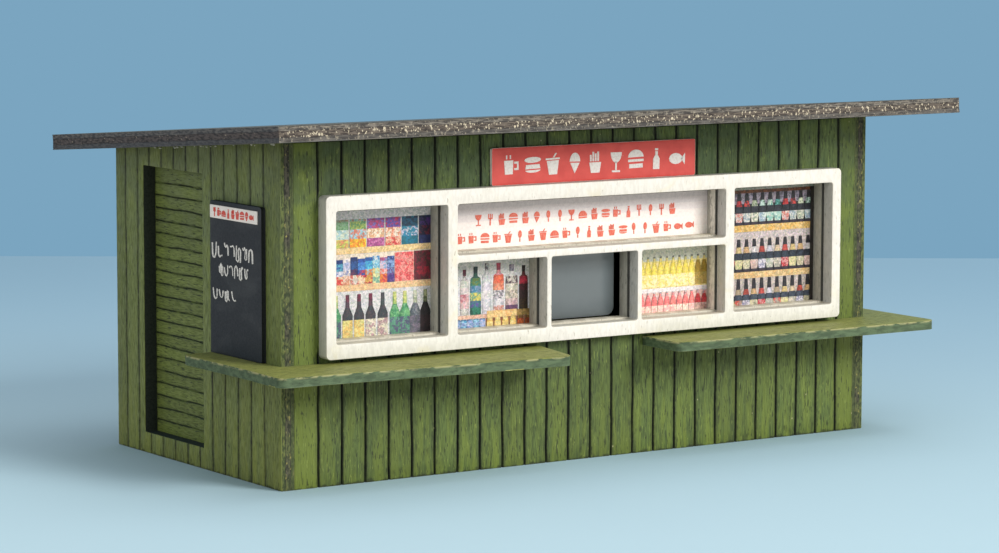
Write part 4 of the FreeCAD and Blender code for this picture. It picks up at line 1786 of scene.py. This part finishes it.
class Article(Enum):
    """Outlines of printed goods: rows of height, half width and the zone above, as shares of the size."""

    WINE = ((0, 1, "foot"), (0.02, 1, "label"), (0.43, 1, "glass"), (0.54, 1, "glass"),
            (0.62, 0.72, "glass"), (0.72, 0.4, "neck"), (0.84, 0.36, "cap"), (1, 0.34, ""))
    SPIRIT = ((0, 0.95, "foot"), (0.03, 1, "foot"), (0.15, 1, "low"), (0.29, 1, "label"),
              (0.46, 1, "high"), (0.6, 1, "shoulder"), (0.76, 0.9, "neck"), (0.8, 0.38, "neck"),
              (0.86, 0.34, "cap"), (0.99, 0.38, "cap"), (1, 0.36, ""))
    BEER = ((0, 0.95, "foot"), (0.03, 1, "label"), (0.42, 1, "glass"), (0.62, 0.92, "glass"),
            (0.82, 0.45, "neck"), (0.94, 0.3, "cap"), (1, 0.3, ""))
    LAGER = ((0, 1, "foot"), (0.09, 0.72, "label"), (0.37, 1.02, "glass"), (0.58, 0.74, "collar"),
             (0.76, 0.5, "neck"), (0.97, 0.36, "cap"), (1, 0.32, ""))
    HALF_LAGER = ((0, 0.82, "label"), (0.27, 1.06, "glass"), (0.46, 0.74, "collar"), (0.64, 0.5, "neck"),
                  (0.97, 0.36, "cap"), (1, 0.32, ""))
    CAN = ((0, 0.85, "rim"), (0.08, 1, "body"), (0.4, 1, "label"), (0.7, 1, "body"),
           (0.9, 1, "rim"), (1, 0.85, ""))
    JAR = ((0, 0.9, "body"), (0.05, 1, "body"), (0.25, 1, "label"), (0.65, 1, "body"),
           (0.76, 0.85, "lid"), (1, 0.85, ""))
    BAG = ((0, 0.97, "lower"), (0.08, 1, "lower"), (0.3, 0.98, "motif"), (0.64, 0.97, "upper"),
           (0.92, 0.97, "crimp"), (1, 0.98, ""))
    PACKET = ((0, 1, "lower"), (0.34, 1, "motif"), (0.55, 1, "upper"), (0.85, 0.98, "head"),
              (1, 0.96, ""))
    BOARD = ((0, 1, "face"), (0.2, 1, "face"), (1, 1, ""))

    def inks(self, codes: str) -> dict[str, str]:
        """Return the inks of the zones by name, from codes that run from the head to the foot."""
        zones = dict.fromkeys(zone for _, _, zone in reversed(self.value) if zone)
        return dict(zip(zones, codes.split()))


def ink_faces(mesh: bpy.types.Mesh, inks: Callable[[Face], tuple[str, float]]) -> None:
    """Write the two inks of every face.

    Args:
        mesh: the mesh of a print.
        inks: what gives a face's two codes and how light they are.
    """
    layers = [mesh.color_attributes.new(name, "FLOAT_COLOR", "CORNER").data for name in INKS]
    for face in mesh.polygons:
        pair, light = inks(face)
        for layer, colour in zip(layers, two_inks(pair)):
            for corner in face.loop_indices:
                layer[corner].color = shaded(colour, light)


@dataclass
class GoodsPrinter(Patterns):
    """Cuts the outline of each article once and prints copies of it."""

    thickness: float = 0.04
    columns: tuple[Point, ...] = ((-1, 0.78), (-0.72, 0.9), (-0.4, 1), (-0.12, 1.14), (0.12, 1.03),
                                  (0.5, 0.93), (0.8, 0.8), (1, 0))

    def make(self, kind: Article) -> Piece:
        """Make an article's pattern: a grid of rows and columns, one high and one wide."""
        rows, wide = kind.value, len(self.columns)
        grid = {"x_subdivisions": wide - 1, "y_subdivisions": len(rows) - 1, "size": 1}
        piece = added(bpy.ops.mesh.primitive_grid_add, **grid)
        for index, vertex in enumerate(piece.data.vertices):
            row, column = divmod(index, wide)
            vertex.co = (self.columns[column][0] * rows[row][1] / 2, rows[row][0], 0)
        cell = piece.data.attributes.new("cell", "INT", "FACE")
        for face in piece.data.polygons:
            cell.data[face.index].value = min(face.vertices)
        finish_with(piece, "SOLIDIFY", thickness=1.0, offset=1)
        return piece

    def print(self, kind: Article, codes: str, centre: float, width: float, foot: float, height: float,
              layer: int = 0) -> Piece:
        """Return one printed article.

        Args:
            kind: the article's outline.
            codes: the inks of its zones, from the head down.
            centre: the middle across, in millimetres on the bench.
            width: its width.
            foot: where it stands.
            height: its height.
            layer: how many prints it lies over.

        Returns:
            The article's object on the bench.
        """
        piece = self.copy(kind)
        mesh = piece.data
        inks = kind.inks(codes)
        cells = [cell.value for cell in mesh.attributes["cell"].data]

        def inks_of(face: Face) -> tuple[str, float]:
            """Return the inks of a face's zone and how light its column is."""
            row, column = divmod(cells[face.index], len(self.columns))
            zone = kind.value[row][2]
            return inks[zone], 1.0 if zone in FLAT_ZONES else self.columns[column][1]

        ink_faces(mesh, inks_of)
        mesh.attributes.remove(mesh.attributes["cell"])
        size = Matrix.Diagonal((width, height, self.thickness, 1))
        return place(piece, Matrix.Translation((centre, foot, layer * self.thickness)) @ size)


@dataclass
class Displays:
    """The printed cards behind the bays: goods on shelves, and the panel over the hatch."""

    press: PictogramPress
    printer: GoodsPrinter = field(default_factory=GoodsPrinter)
    node: str = ""
    box: NodeBox | None = None
    pieces: list[Piece] = field(default_factory=list)

    def build(self) -> None:
        """Build the five cards."""
        self.build_left()
        self.build_bottles()
        self.build_drinks()
        self.build_right()
        self.build_panel()
        self.printer.clear()

    def open(self, node: str, *bands: tuple[float, str]) -> None:
        """Start a card, printed in level bands.

        Args:
            node: the solid that it stands for.
            bands: the foot and the two inks of each band, from the lowest up.
        """
        self.node = node
        self.box = NodeBox.of(node)
        area = self.box.front_area()
        sheet = Sheet(node + "_face", area, self.box.size.y - 0.01)
        sheet.thicken()
        sheet.score(ys=[foot for foot, _ in bands if area.foot + 0.05 < foot < area.head - 0.05])

        def inks_of(face: Face) -> tuple[str, float]:
            """Return the inks of the band that a face lies in."""
            return max(band for band in bands if band[0] <= face.center.y)[1], 1.0

        ink_faces(sheet.piece.data, inks_of)
        self.pieces = [sheet.piece]

    def add(self, kind: Article, codes: str, middle: float, width: float, foot: float, height: float,
            layer: int = 0) -> None:
        """Print one article; its middle is measured from the card's left edge."""
        centre = self.box.low.x + middle
        self.pieces.append(self.printer.print(kind, codes, centre, width, foot, height, layer))

    def band(self, foot: float, head: float, pair: str, start: float = 0.01, end: float | None = None,
             layer: int = 0) -> None:
        """Print a level band, right across the card or from one place to another."""
        stop = self.box.size.x - 0.01 if end is None else end
        self.add(Article.BOARD, pair, (start + stop) / 2, stop - start, foot, head - foot, layer)

    def close(self, name: str, finish: Finish, slot: str = "display_print") -> None:
        """Join the card with its goods and put it behind its bay."""
        stick(self.pieces, name, finish, Facing.FRONT, self.box.low.y + 0.01, slot, self.node)

    def build_left(self) -> None:
        """Build the left display: bags, packets and bottles on three shelves."""
        self.open("left_display_card", (0, "e3e1e2/cfd0d4"), (18.9, "f0e0cc/e8d8c8"),
                  (22.55, "d8d8d6/c0c2c2"), (26.0, "e2e4e8/d2d4d8"))
        bags = ("8cab7a 7fae86/4f8a4a dfe3d0/8fc2c8 c3cf5a/d8705a",
                "8a9a80/a05a50 86b08a/4f8a4a a9cfd2/dfe3d0 d0d46a/dc8068",
                "7fb0a0/b06a50 a9bc62/4f9070 9fd0dc/e0673c f2d23a/f07a34",
                "9a3a60/6a62b0 7a72bc/c23a5e f0e4cc/dc9a72 a9528c/e58cc0",
                "b03050/404a9c c23a54/4a56b0 f2e2d0/e0784a dc4c4a/f2c8ac",
                "1c2c48/1f7f98 1a5570/14243c 2a86a4/cfc6dc 1c7c96/23687c",
                "162036/23305a 1d2340/4c2a78 1a1c34/6c2238 232d5c/2a3a70")
        edges = (0.02, 1.44, 3.44, 5.44, 7.58, 9.47, 11.48, 13.26)
        for codes, start, end in zip(bags, edges, edges[1:]):
            self.add(Article.BAG, codes, (start + end) / 2, end - start - 0.1, 23.22, 2.78)
        self.band(22.6, 23.2, "f2d7a2/ecc489")
        packets = ("26407e 3c6cac/60b4c8 dcdce8/4a6ab8 e2564c/f2dcb8",
                   "e8e2dc/9c9ccc cfcfe4/9aa8d8 f2e4d8/6a80c0 f2d6be/e28468",
                   "24386c 2f5c9c/24386c 283468/6c3a58 e0d8c8/d4443c",
                   "3060b4/2a4890 3f7cc8/5c9ce0 3458a8/c83a3c dc3c40/f2e0c0",
                   "2c78bc/2a4890 4498d4/5cc8dc dc803c/7fc4d8 b8384c/e8b45c",
                   "4c90c4/e0e4e8 74bcd8/c8dce0 b8dcc0/f0b450 84b49c/f2eaac",
                   "b05c84/7a94d0 e0c4d4/8ab0dc e07a6c/e8c8d0 ec8c40/d23c58",
                   "2a3a7c/6c90d0 8cb0dc/3c4c94 6c2c50/7a94d0 4c3c84/8c60a0")
        for number, codes in enumerate(packets):
            self.add(Article.PACKET, codes, 2.3 + number * 0.85, 0.83, 19.56, 2.5 + 0.1 * (number % 3))
        self.band(19.58, 22.45, "e2565a/f6a49c", 8.72, 10.92)
        self.band(19.58, 22.5, "7c2438/42302f", 10.98, 13.0)
        self.band(20.1, 20.9, "9c2436/5c2a34", 11.2, 12.7, layer=1)
        self.band(18.93, 19.54, "f2d2a0/f0b890")
        wines = {"leaf": "d4d888/b0c070 c4cc7c/8cb868 7cbc84/3c8c60 586078/60a080 484458",
                 "red": "7c2c48/5c3444 484850/5c3c4c 3c464c/50444c e4dc90/e6b868 3c2c30",
                 "pale": "7c2c48/5c3444 484850/5c3c4c 3c464c/50444c e2dcc4/a87c8c 3c2c30",
                 "dark": "48484e 465054 3c464c/50444c e2dcc4/a87c8c 3c2c30",
                 "slate": "ccd0bc c0c8b4/90a080 606c74/8c8c98 7c7484/585c68 4c4450",
                 "night": "a4ac84/60703c 74805c/3c4430 302c30/201c20 38282c/241c20 201818"}
        row = (("leaf", 0.62), ("leaf", 1.9), ("red", 3.24), ("red", 4.57), ("pale", 5.9), ("dark", 7.3),
               ("leaf", 8.7), ("leaf", 9.89), ("slate", 11.09), ("night", 12.29))
        for wine, middle in row:
            self.add(Article.WINE, wines[wine], middle, 1.16, 14.12, 4.45)
        self.close("left_display_goods", DISPLAY_PRINT_PAINTED_SHADE)

    def build_bottles(self) -> None:
        """Build the bottle display: seven bottles over a row of cans and jars."""
        self.open("bottle_display_card", (0, "e0dcd6/cfc8c4"), (15.2, "e2e2e2/dcdce4"),
                  (19.6, "e0e2e0/d0d2d0"))
        clear = " d8d6da e2e0e6/d4dcd8 e4e0e8/dcd0e0 e8e4e4/e0d4dc e4e2e4/d8d4e0 dcd8e0/c8c4cc"
        bottles = (
            ("6c2c3c" + clear, 1.5, 1.1, 4.4),
            ("6c2438/4c2c38 d8d4d4/504048 dcdcd4/d0d4cc e6d8d8 e0b4b8/c86c7c e6cccc/dca4a8 dcd8d4/b0a8a4",
             2.91, 1.02, 4.65),
            ("203c3c/182828 2c5850 3c8c7c/707c34 3c84a0/8c9cc4 e0d068/50a090 3c7c84/644898 34886c/1c5448",
             4.24, 1.3, 4.88),
            ("605864/c4c8c8" + clear, 5.58, 1.1, 5.15),
            ("b44c60/8c4458 e47c88/e8b0b4 ec7c58/e25c44 ec8464/e8a88c dcd8dc/54505c dedade/c0bcc4"
             " e0ccc8/d48870", 7.02, 1.3, 5.1),
            ("6c6478/a49cac dcdad8 605058/d8d0c8 e2dccc/a8a090 e0d4c4/948c84 d8c0bc/b8949c 7c5478/5c3c5c",
             8.61, 1.5, 4.86),
            ("241c1c/382c2c 6c3034 8c1c34/c03048 4c1824/341818 382424/2c1c18 302018/44301c 3c2c14/241a14",
             10.06, 1.05, 4.69))
        for codes, middle, width, height in bottles:
            self.add(Article.SPIRIT, codes, middle, width, 15.6, height)
        self.band(15.2, 15.58, "f0ccb0/e2a898", 0.01, 5.6)
        self.band(15.2, 15.9, "f0d090/ecb070", 5.6, 9.2, layer=1)
        self.band(15.2, 15.85, "a88c50/7c6430", 9.2, 11.0, layer=1)
        cans = ("4c6c90/7cb0cc 5ca8d4/a8d4ec a8cce8/6878b4", "4c6c90/7cb0cc 88a8dc/c8c4e4 c8cce8/6c9cd0")
        for number in range(6):
            self.add(Article.CAN, cans[number % 2], 1.35 + number * 0.74, 0.7, 14.06, 1.12)
        jars = ("ecd890/dcb868 f0d878/e8b458 f0dc94/e8c070", "a07c38/5c3c24 b8542c/8c3424 c4642c/7c3020")
        for number in range(6):
            self.band(14.06, 15.17, "8c5440/a87850", 5.48 + number * 0.94, 6.4 + number * 0.93)
            self.add(Article.JAR, jars[number > 3], 5.95 + number * 0.94, 0.74, 14.06, 1.12, layer=1)
        self.close("bottle_display_goods", DISPLAY_PRINT_PAINTED_SHADE)

    def build_drinks(self) -> None:
        """Build the drinks display: a row of yellow bottles over a row of red ones."""
        self.open("drinks_display_card", (0, "7c4c3c/a05c50"), (14.15, "e8ccc4/dcb0ac"),
                  (16.4, "efe2e2/dcd8dc"), (16.85, "efe0a4/ecd984"), (19.7, "dbdecf/ccd0c0"))
        yellows = ("6c6a68/a8a8a0 ead888/d8cc88 ecd76c/e4cc48 f2e6b4/ecd370 ecd07c/f0e4b0",
                   "6c6a68/a8a8a0 ead888/d8cc88 a88c34/94782c b49c58/a08438 ecd07c/f0e4b0")
        reds = ("a4989c/d0c8cc ea7a78/b0a4ac ea7474/f0908c f4dccc/eaa4a4 c0706c/8c4844",
                "a4989c/d0c8cc ea7a78/b0a4ac b8343c/c84c4c d8b8ac/b48480 c0706c/8c4844")
        # The two rightmost bottles of each row are printed darker: painted shade from the right jamb.
        for number in range(13):
            middle, shade = 0.69 + number * 0.81, number > 10
            self.add(Article.BEER, yellows[shade], middle, 0.8, 16.88, 3.3)
            self.add(Article.BEER, reds[shade], middle, 0.74, 14.03, 2.4, layer=1)
        self.close("drinks_display_goods", DRINKS_PRINT_PAINTED_LIGHT)

    def build_right(self) -> None:
        """Build the right display: three shelves of dark bottles, with painted shadow down its right end."""
        self.open("right_display_card", (0, "26262e/3a3840"), (15.35, "dcd0ca/bcb0ac"),
                  (17.85, "262832/3a3a44"), (19.85, "e0d4d4/c8bab8"), (22.5, "20222a"),
                  (25.1, "b4acbc/6c6474"), (26.25, "8c5838/5c3828"), (26.6, "b8c0b4/a4aca2"))
        tops = ("3c9c94/d8e8dc {} d8e8dc/8cc8c0", "5cb0a4/3c6c64 {} a0d4cc/d8e8dc",
                "d83c3c/8c2c34 {} ecdcd4/d86c64", "dc4c44/3c343c {} e4e4dc/8ca4b4",
                "d8e4c4/58705c {} e8e8d4/90a090", "c8e4dc/3c6c54 {} dce8e4/a0b8d0")
        lows = ("e0c8a8 {} e4dccc/a8a49c", "e8e0e0 {} f0d8d0/d8b0a8", "c8544c {} cc3c48/ecacac",
                "b84c40 {} e8e4ec/8c8cac", "e4c88c {} ece0b0/d8d49c", "dcd8e4 {} dcdcd0/a4ac9c",
                "dcb484 {} e8e0c0/b0a890")
        for number in range(13):
            # The last column of bottles is printed dark: painted shade from the right jamb.
            last = number > 11
            top = "3c2c2c {} 4c3430/2c2424" if last else tops[number % 6]
            middle = "5c2024 {} 6c1c20/8c3020" if last else lows[number * 2 % 7]
            low = "b8a488 {} d8584c/c8c4b8" if number % 5 == 2 else lows[(number * 3 + 1) % 7]
            for kind, codes, glass, width, foot, height in (
                    (Article.LAGER, top, "20242c/343844", 1.08, 22.87, 3.4),
                    (Article.LAGER, middle, "2c3440/3c4858", 1.1, 17.87, 3.5),
                    (Article.HALF_LAGER, low, "3c4658/4c5868", 1.1, 14.0, 3.15)):
                codes = f"34303a/5c5450 26242c/3c383c {codes.format(glass)} 3c3440"
                self.add(kind, codes, 1.0 + number * 1.04, width, foot, height)
        self.band(22.14, 22.85, "f0c068/f4d49c")
        self.band(17.18, 17.85, "f4d8a0/f0bc80")
        # Near-black band down the card's right end: painted shadow of the right jamb.
        self.band(13.97, 26.6, "322c28/262220", 12.7, 13.5, layer=1)
        self.close("right_display_goods", BEER_PRINT_PAINTED_SHADE)

    def build_panel(self) -> None:
        """Build the pale panel, darkened toward the top by painted shade, with two rows of red pictograms."""
        # The bands darken upward: painted shade from the frame and the roof above.
        self.open("panel_card", (0, "fbf6f0/f6e9e1"), (23.2, "f7f0eb/f1e4de"), (24.2, "f1eae6/eaddda"),
                  (25.0, "e9e2e1/e0d5d6"), (25.7, "e1dbdc/d4cccf"), (26.3, "d8d3d5/c6c2c5"))
        self.close("panel_paper_face", PANEL_PAPER, "panel_print")
        draw = random.Random(17)
        kinds = list(Pictogram)
        copies = []
        for start, end, foot in ((4.0, 29.7, 24.55), (0.5, 31.9, 22.7)):
            count = round((end - start) / 1.4)
            chosen = [draw.choice(kinds) for _ in range(count)]
            copies += self.press.row(chosen, self.box.low.x + start, (end - start) / count, foot, 1.16, draw)
        stick(copies, "panel_pictograms", PANEL_INK, Facing.FRONT, self.box.low.y + 0.012, "panel_print")


@dataclass
class HatchFilmPane:
    """The grey-blue film that closes the serving hatch."""

    spare: float = 0.55
    inset: float = 0.06
    slack: float = 0.02
    corner: float = 0.9
    softness: float = 0.05
    pitch: float = 0.8
    ripple: float = 0.06
    box: NodeBox = packed("hatch_pane")

    def build(self) -> None:
        """Build the film, slightly bowed, with one round corner."""
        area = self.box.front_area()
        area = Area(area.left, area.right + self.spare, area.foot, area.head)
        sheet = Sheet("hatch_film_face", area, self.box.size.y - self.inset - self.slack)
        sheet.thicken()
        sheet.round_corners([(area.right, area.foot)], self.corner, 6)
        sheet.soften(self.softness)
        columns = spaced(area.left + self.pitch, self.pitch, 11)
        sheet.score(columns, spaced(area.foot + self.pitch, self.pitch, 8))
        sheet.bow(lambda point: self.ripple * noise.noise(Vector((point.x * 0.3, point.y * 0.25, 4.0))))
        sheet.mark(HATCH_FILM)
        sheet.deliver(Facing.FRONT, self.box.low.y + self.inset, "hatch_film", "hatch_pane")


@dataclass
class StudioCamera:
    """The camera, at the photograph's viewing angle."""

    place: Point3 = (-202.145, -301.404, 58.585)
    yaw: float = 0.587790
    pitch: float = 0.113092
    roll: float = 0.002306
    lens: float = 124.05

    def build(self) -> None:
        """Build the camera and look through it."""
        ahead = Vector((math.sin(self.yaw) * math.cos(self.pitch), math.cos(self.yaw) * math.cos(self.pitch),
                        -math.sin(self.pitch)))
        level = Vector((math.cos(self.yaw), -math.sin(self.yaw), 0))
        upward = level.cross(ahead)
        right = math.cos(self.roll) * level + math.sin(self.roll) * upward
        up = -math.sin(self.roll) * level + math.cos(self.roll) * upward
        camera = named(added(bpy.ops.object.camera_add), "photo_camera")
        turn = Matrix((right, up, -ahead)).transposed().to_4x4()
        camera.matrix_world = Matrix.Translation(Vector(self.place) * MM) @ turn
        camera.data.lens = self.lens
        camera.data.sensor_width = 36.0
        camera.data.clip_start = 0.01
        bpy.context.scene.camera = camera


@dataclass
class Studio:
    """A pale blue table, a soft lamp from the front right, and even light all round."""

    floor_size: float = 3.0
    floor_colour: str = "b1cdd9"
    floor_far: str = "84a9c0"
    floor_bounce: str = "c4c4c0"
    backdrop: str = "7ba5c0"
    turn: float = 0.587790
    far_edge: float = 0.18

    def build(self) -> None:
        """Build the floor, the lamps and the world."""
        bpy.context.scene.view_settings.view_transform = "Standard"
        self.build_floor()
        self.lamp("key_softbox", (0.33, -0.74, 0.44), (0, 0, 0.02), 0.34, 7.4, (1.0, 0.97, 0.92))
        self.lamp("overhead_softbox", (0.1, -0.1, 0.8), (0, 0, 0.015), 0.6, 2.6, (1.0, 0.99, 0.97))
        self.lamp("left_fill", (-0.7, -0.35, 0.3), (0, 0, 0.015), 0.5, 1.4, (1.0, 0.98, 0.95))
        self.build_world()

    def build_floor(self) -> None:
        """Build a wide table top whose far edge shows behind the kiosk, painted darker toward that edge."""
        away = Vector((math.sin(self.turn), math.cos(self.turn), 0))
        middle = away * (self.far_edge - self.floor_size / 2)
        floor = named(added(bpy.ops.mesh.primitive_plane_add, size=self.floor_size), "studio_floor")
        place(floor, Matrix.Translation(middle) @ Matrix.Rotation(-self.turn, 4, "Z"))
        material = bpy.data.materials.new("studio_floor")
        material.use_nodes = True
        material.node_tree.nodes.clear()
        graph = Graph(material.node_tree)
        coordinates = graph.add("ShaderNodeTexCoord").outputs["Object"]
        along = graph.add("ShaderNodeVectorMath", {0: coordinates, 1: tuple(away)}, operation="DOT_PRODUCT")
        # Painted shade: the table darkens toward its far edge, where the lamps' light falls off.
        depth = graph.spread(along.outputs["Value"], -0.12, self.far_edge)
        seen = graph.mix(depth, tint(self.floor_colour), tint(self.floor_far))
        path = graph.add("ShaderNodeLightPath")
        graph.surface(graph.mix(path.outputs["Is Camera Ray"], tint(self.floor_bounce), seen), 0.9)
        floor.data.materials.append(material)

    def lamp(self, name: str, spot: Point3, target: Point3, size: float, power: float,
             colour: Point3) -> None:
        """Add one softbox.

        Args:
            name: its name.
            spot: where it hangs, in metres.
            target: where it looks.
            size: the side of its square.
            power: its power in watts.
            colour: its red, green and blue.
        """
        lamp = named(added(bpy.ops.object.light_add, type="AREA", location=spot), name)
        lamp.data.size = size
        lamp.data.energy = power
        lamp.data.color = colour
        lamp.rotation_euler = (Vector(target) - Vector(spot)).to_track_quat("-Z", "Y").to_euler()

    def build_world(self) -> None:
        """Light the scene evenly from a pale sky that the camera sees as the backdrop."""
        world = bpy.data.worlds.new("studio_world")
        bpy.context.scene.world = world
        world.use_nodes = True
        world.node_tree.nodes.clear()
        graph = Graph(world.node_tree)
        ambient = graph.add("ShaderNodeBackground", {"Color": (1, 1, 1, 1), "Strength": 0.42})
        backdrop = graph.add("ShaderNodeBackground", {"Color": tint(self.backdrop), "Strength": 1.0})
        path = graph.add("ShaderNodeLightPath")
        seen = graph.math("MAXIMUM", path.outputs["Is Camera Ray"], path.outputs["Is Transmission Ray"])
        seen = graph.math("MAXIMUM", seen, path.outputs["Is Glossy Ray"])
        blend = graph.add("ShaderNodeMixShader", {0: seen, 1: ambient.outputs[0], 2: backdrop.outputs[0]})
        output = graph.add("ShaderNodeOutputWorld")
        graph.feed(output.inputs["Surface"], blend.outputs[0])


def main() -> None:
    """Build the kiosk's looks around the frame."""
    logging.basicConfig(level=logging.INFO, format="%(name)s: %(message)s")
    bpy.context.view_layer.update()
    StudioCamera().build()
    Studio().build()
    window = WindowFrame()
    bays = window.bays()
    PlankWalls().build([bay.shrunk(window.lip) for bay in bays.values()])
    RoofSheet().build()
    GlueBeads().build()
    Counters().build()
    window.build()
    press = PictogramPress()
    SignBoard(press).build()
    MenuBoard(press).build()
    Displays(press).build()
    press.clear()
    HatchFilmPane().build()


if __name__ == "__main__":
    main()
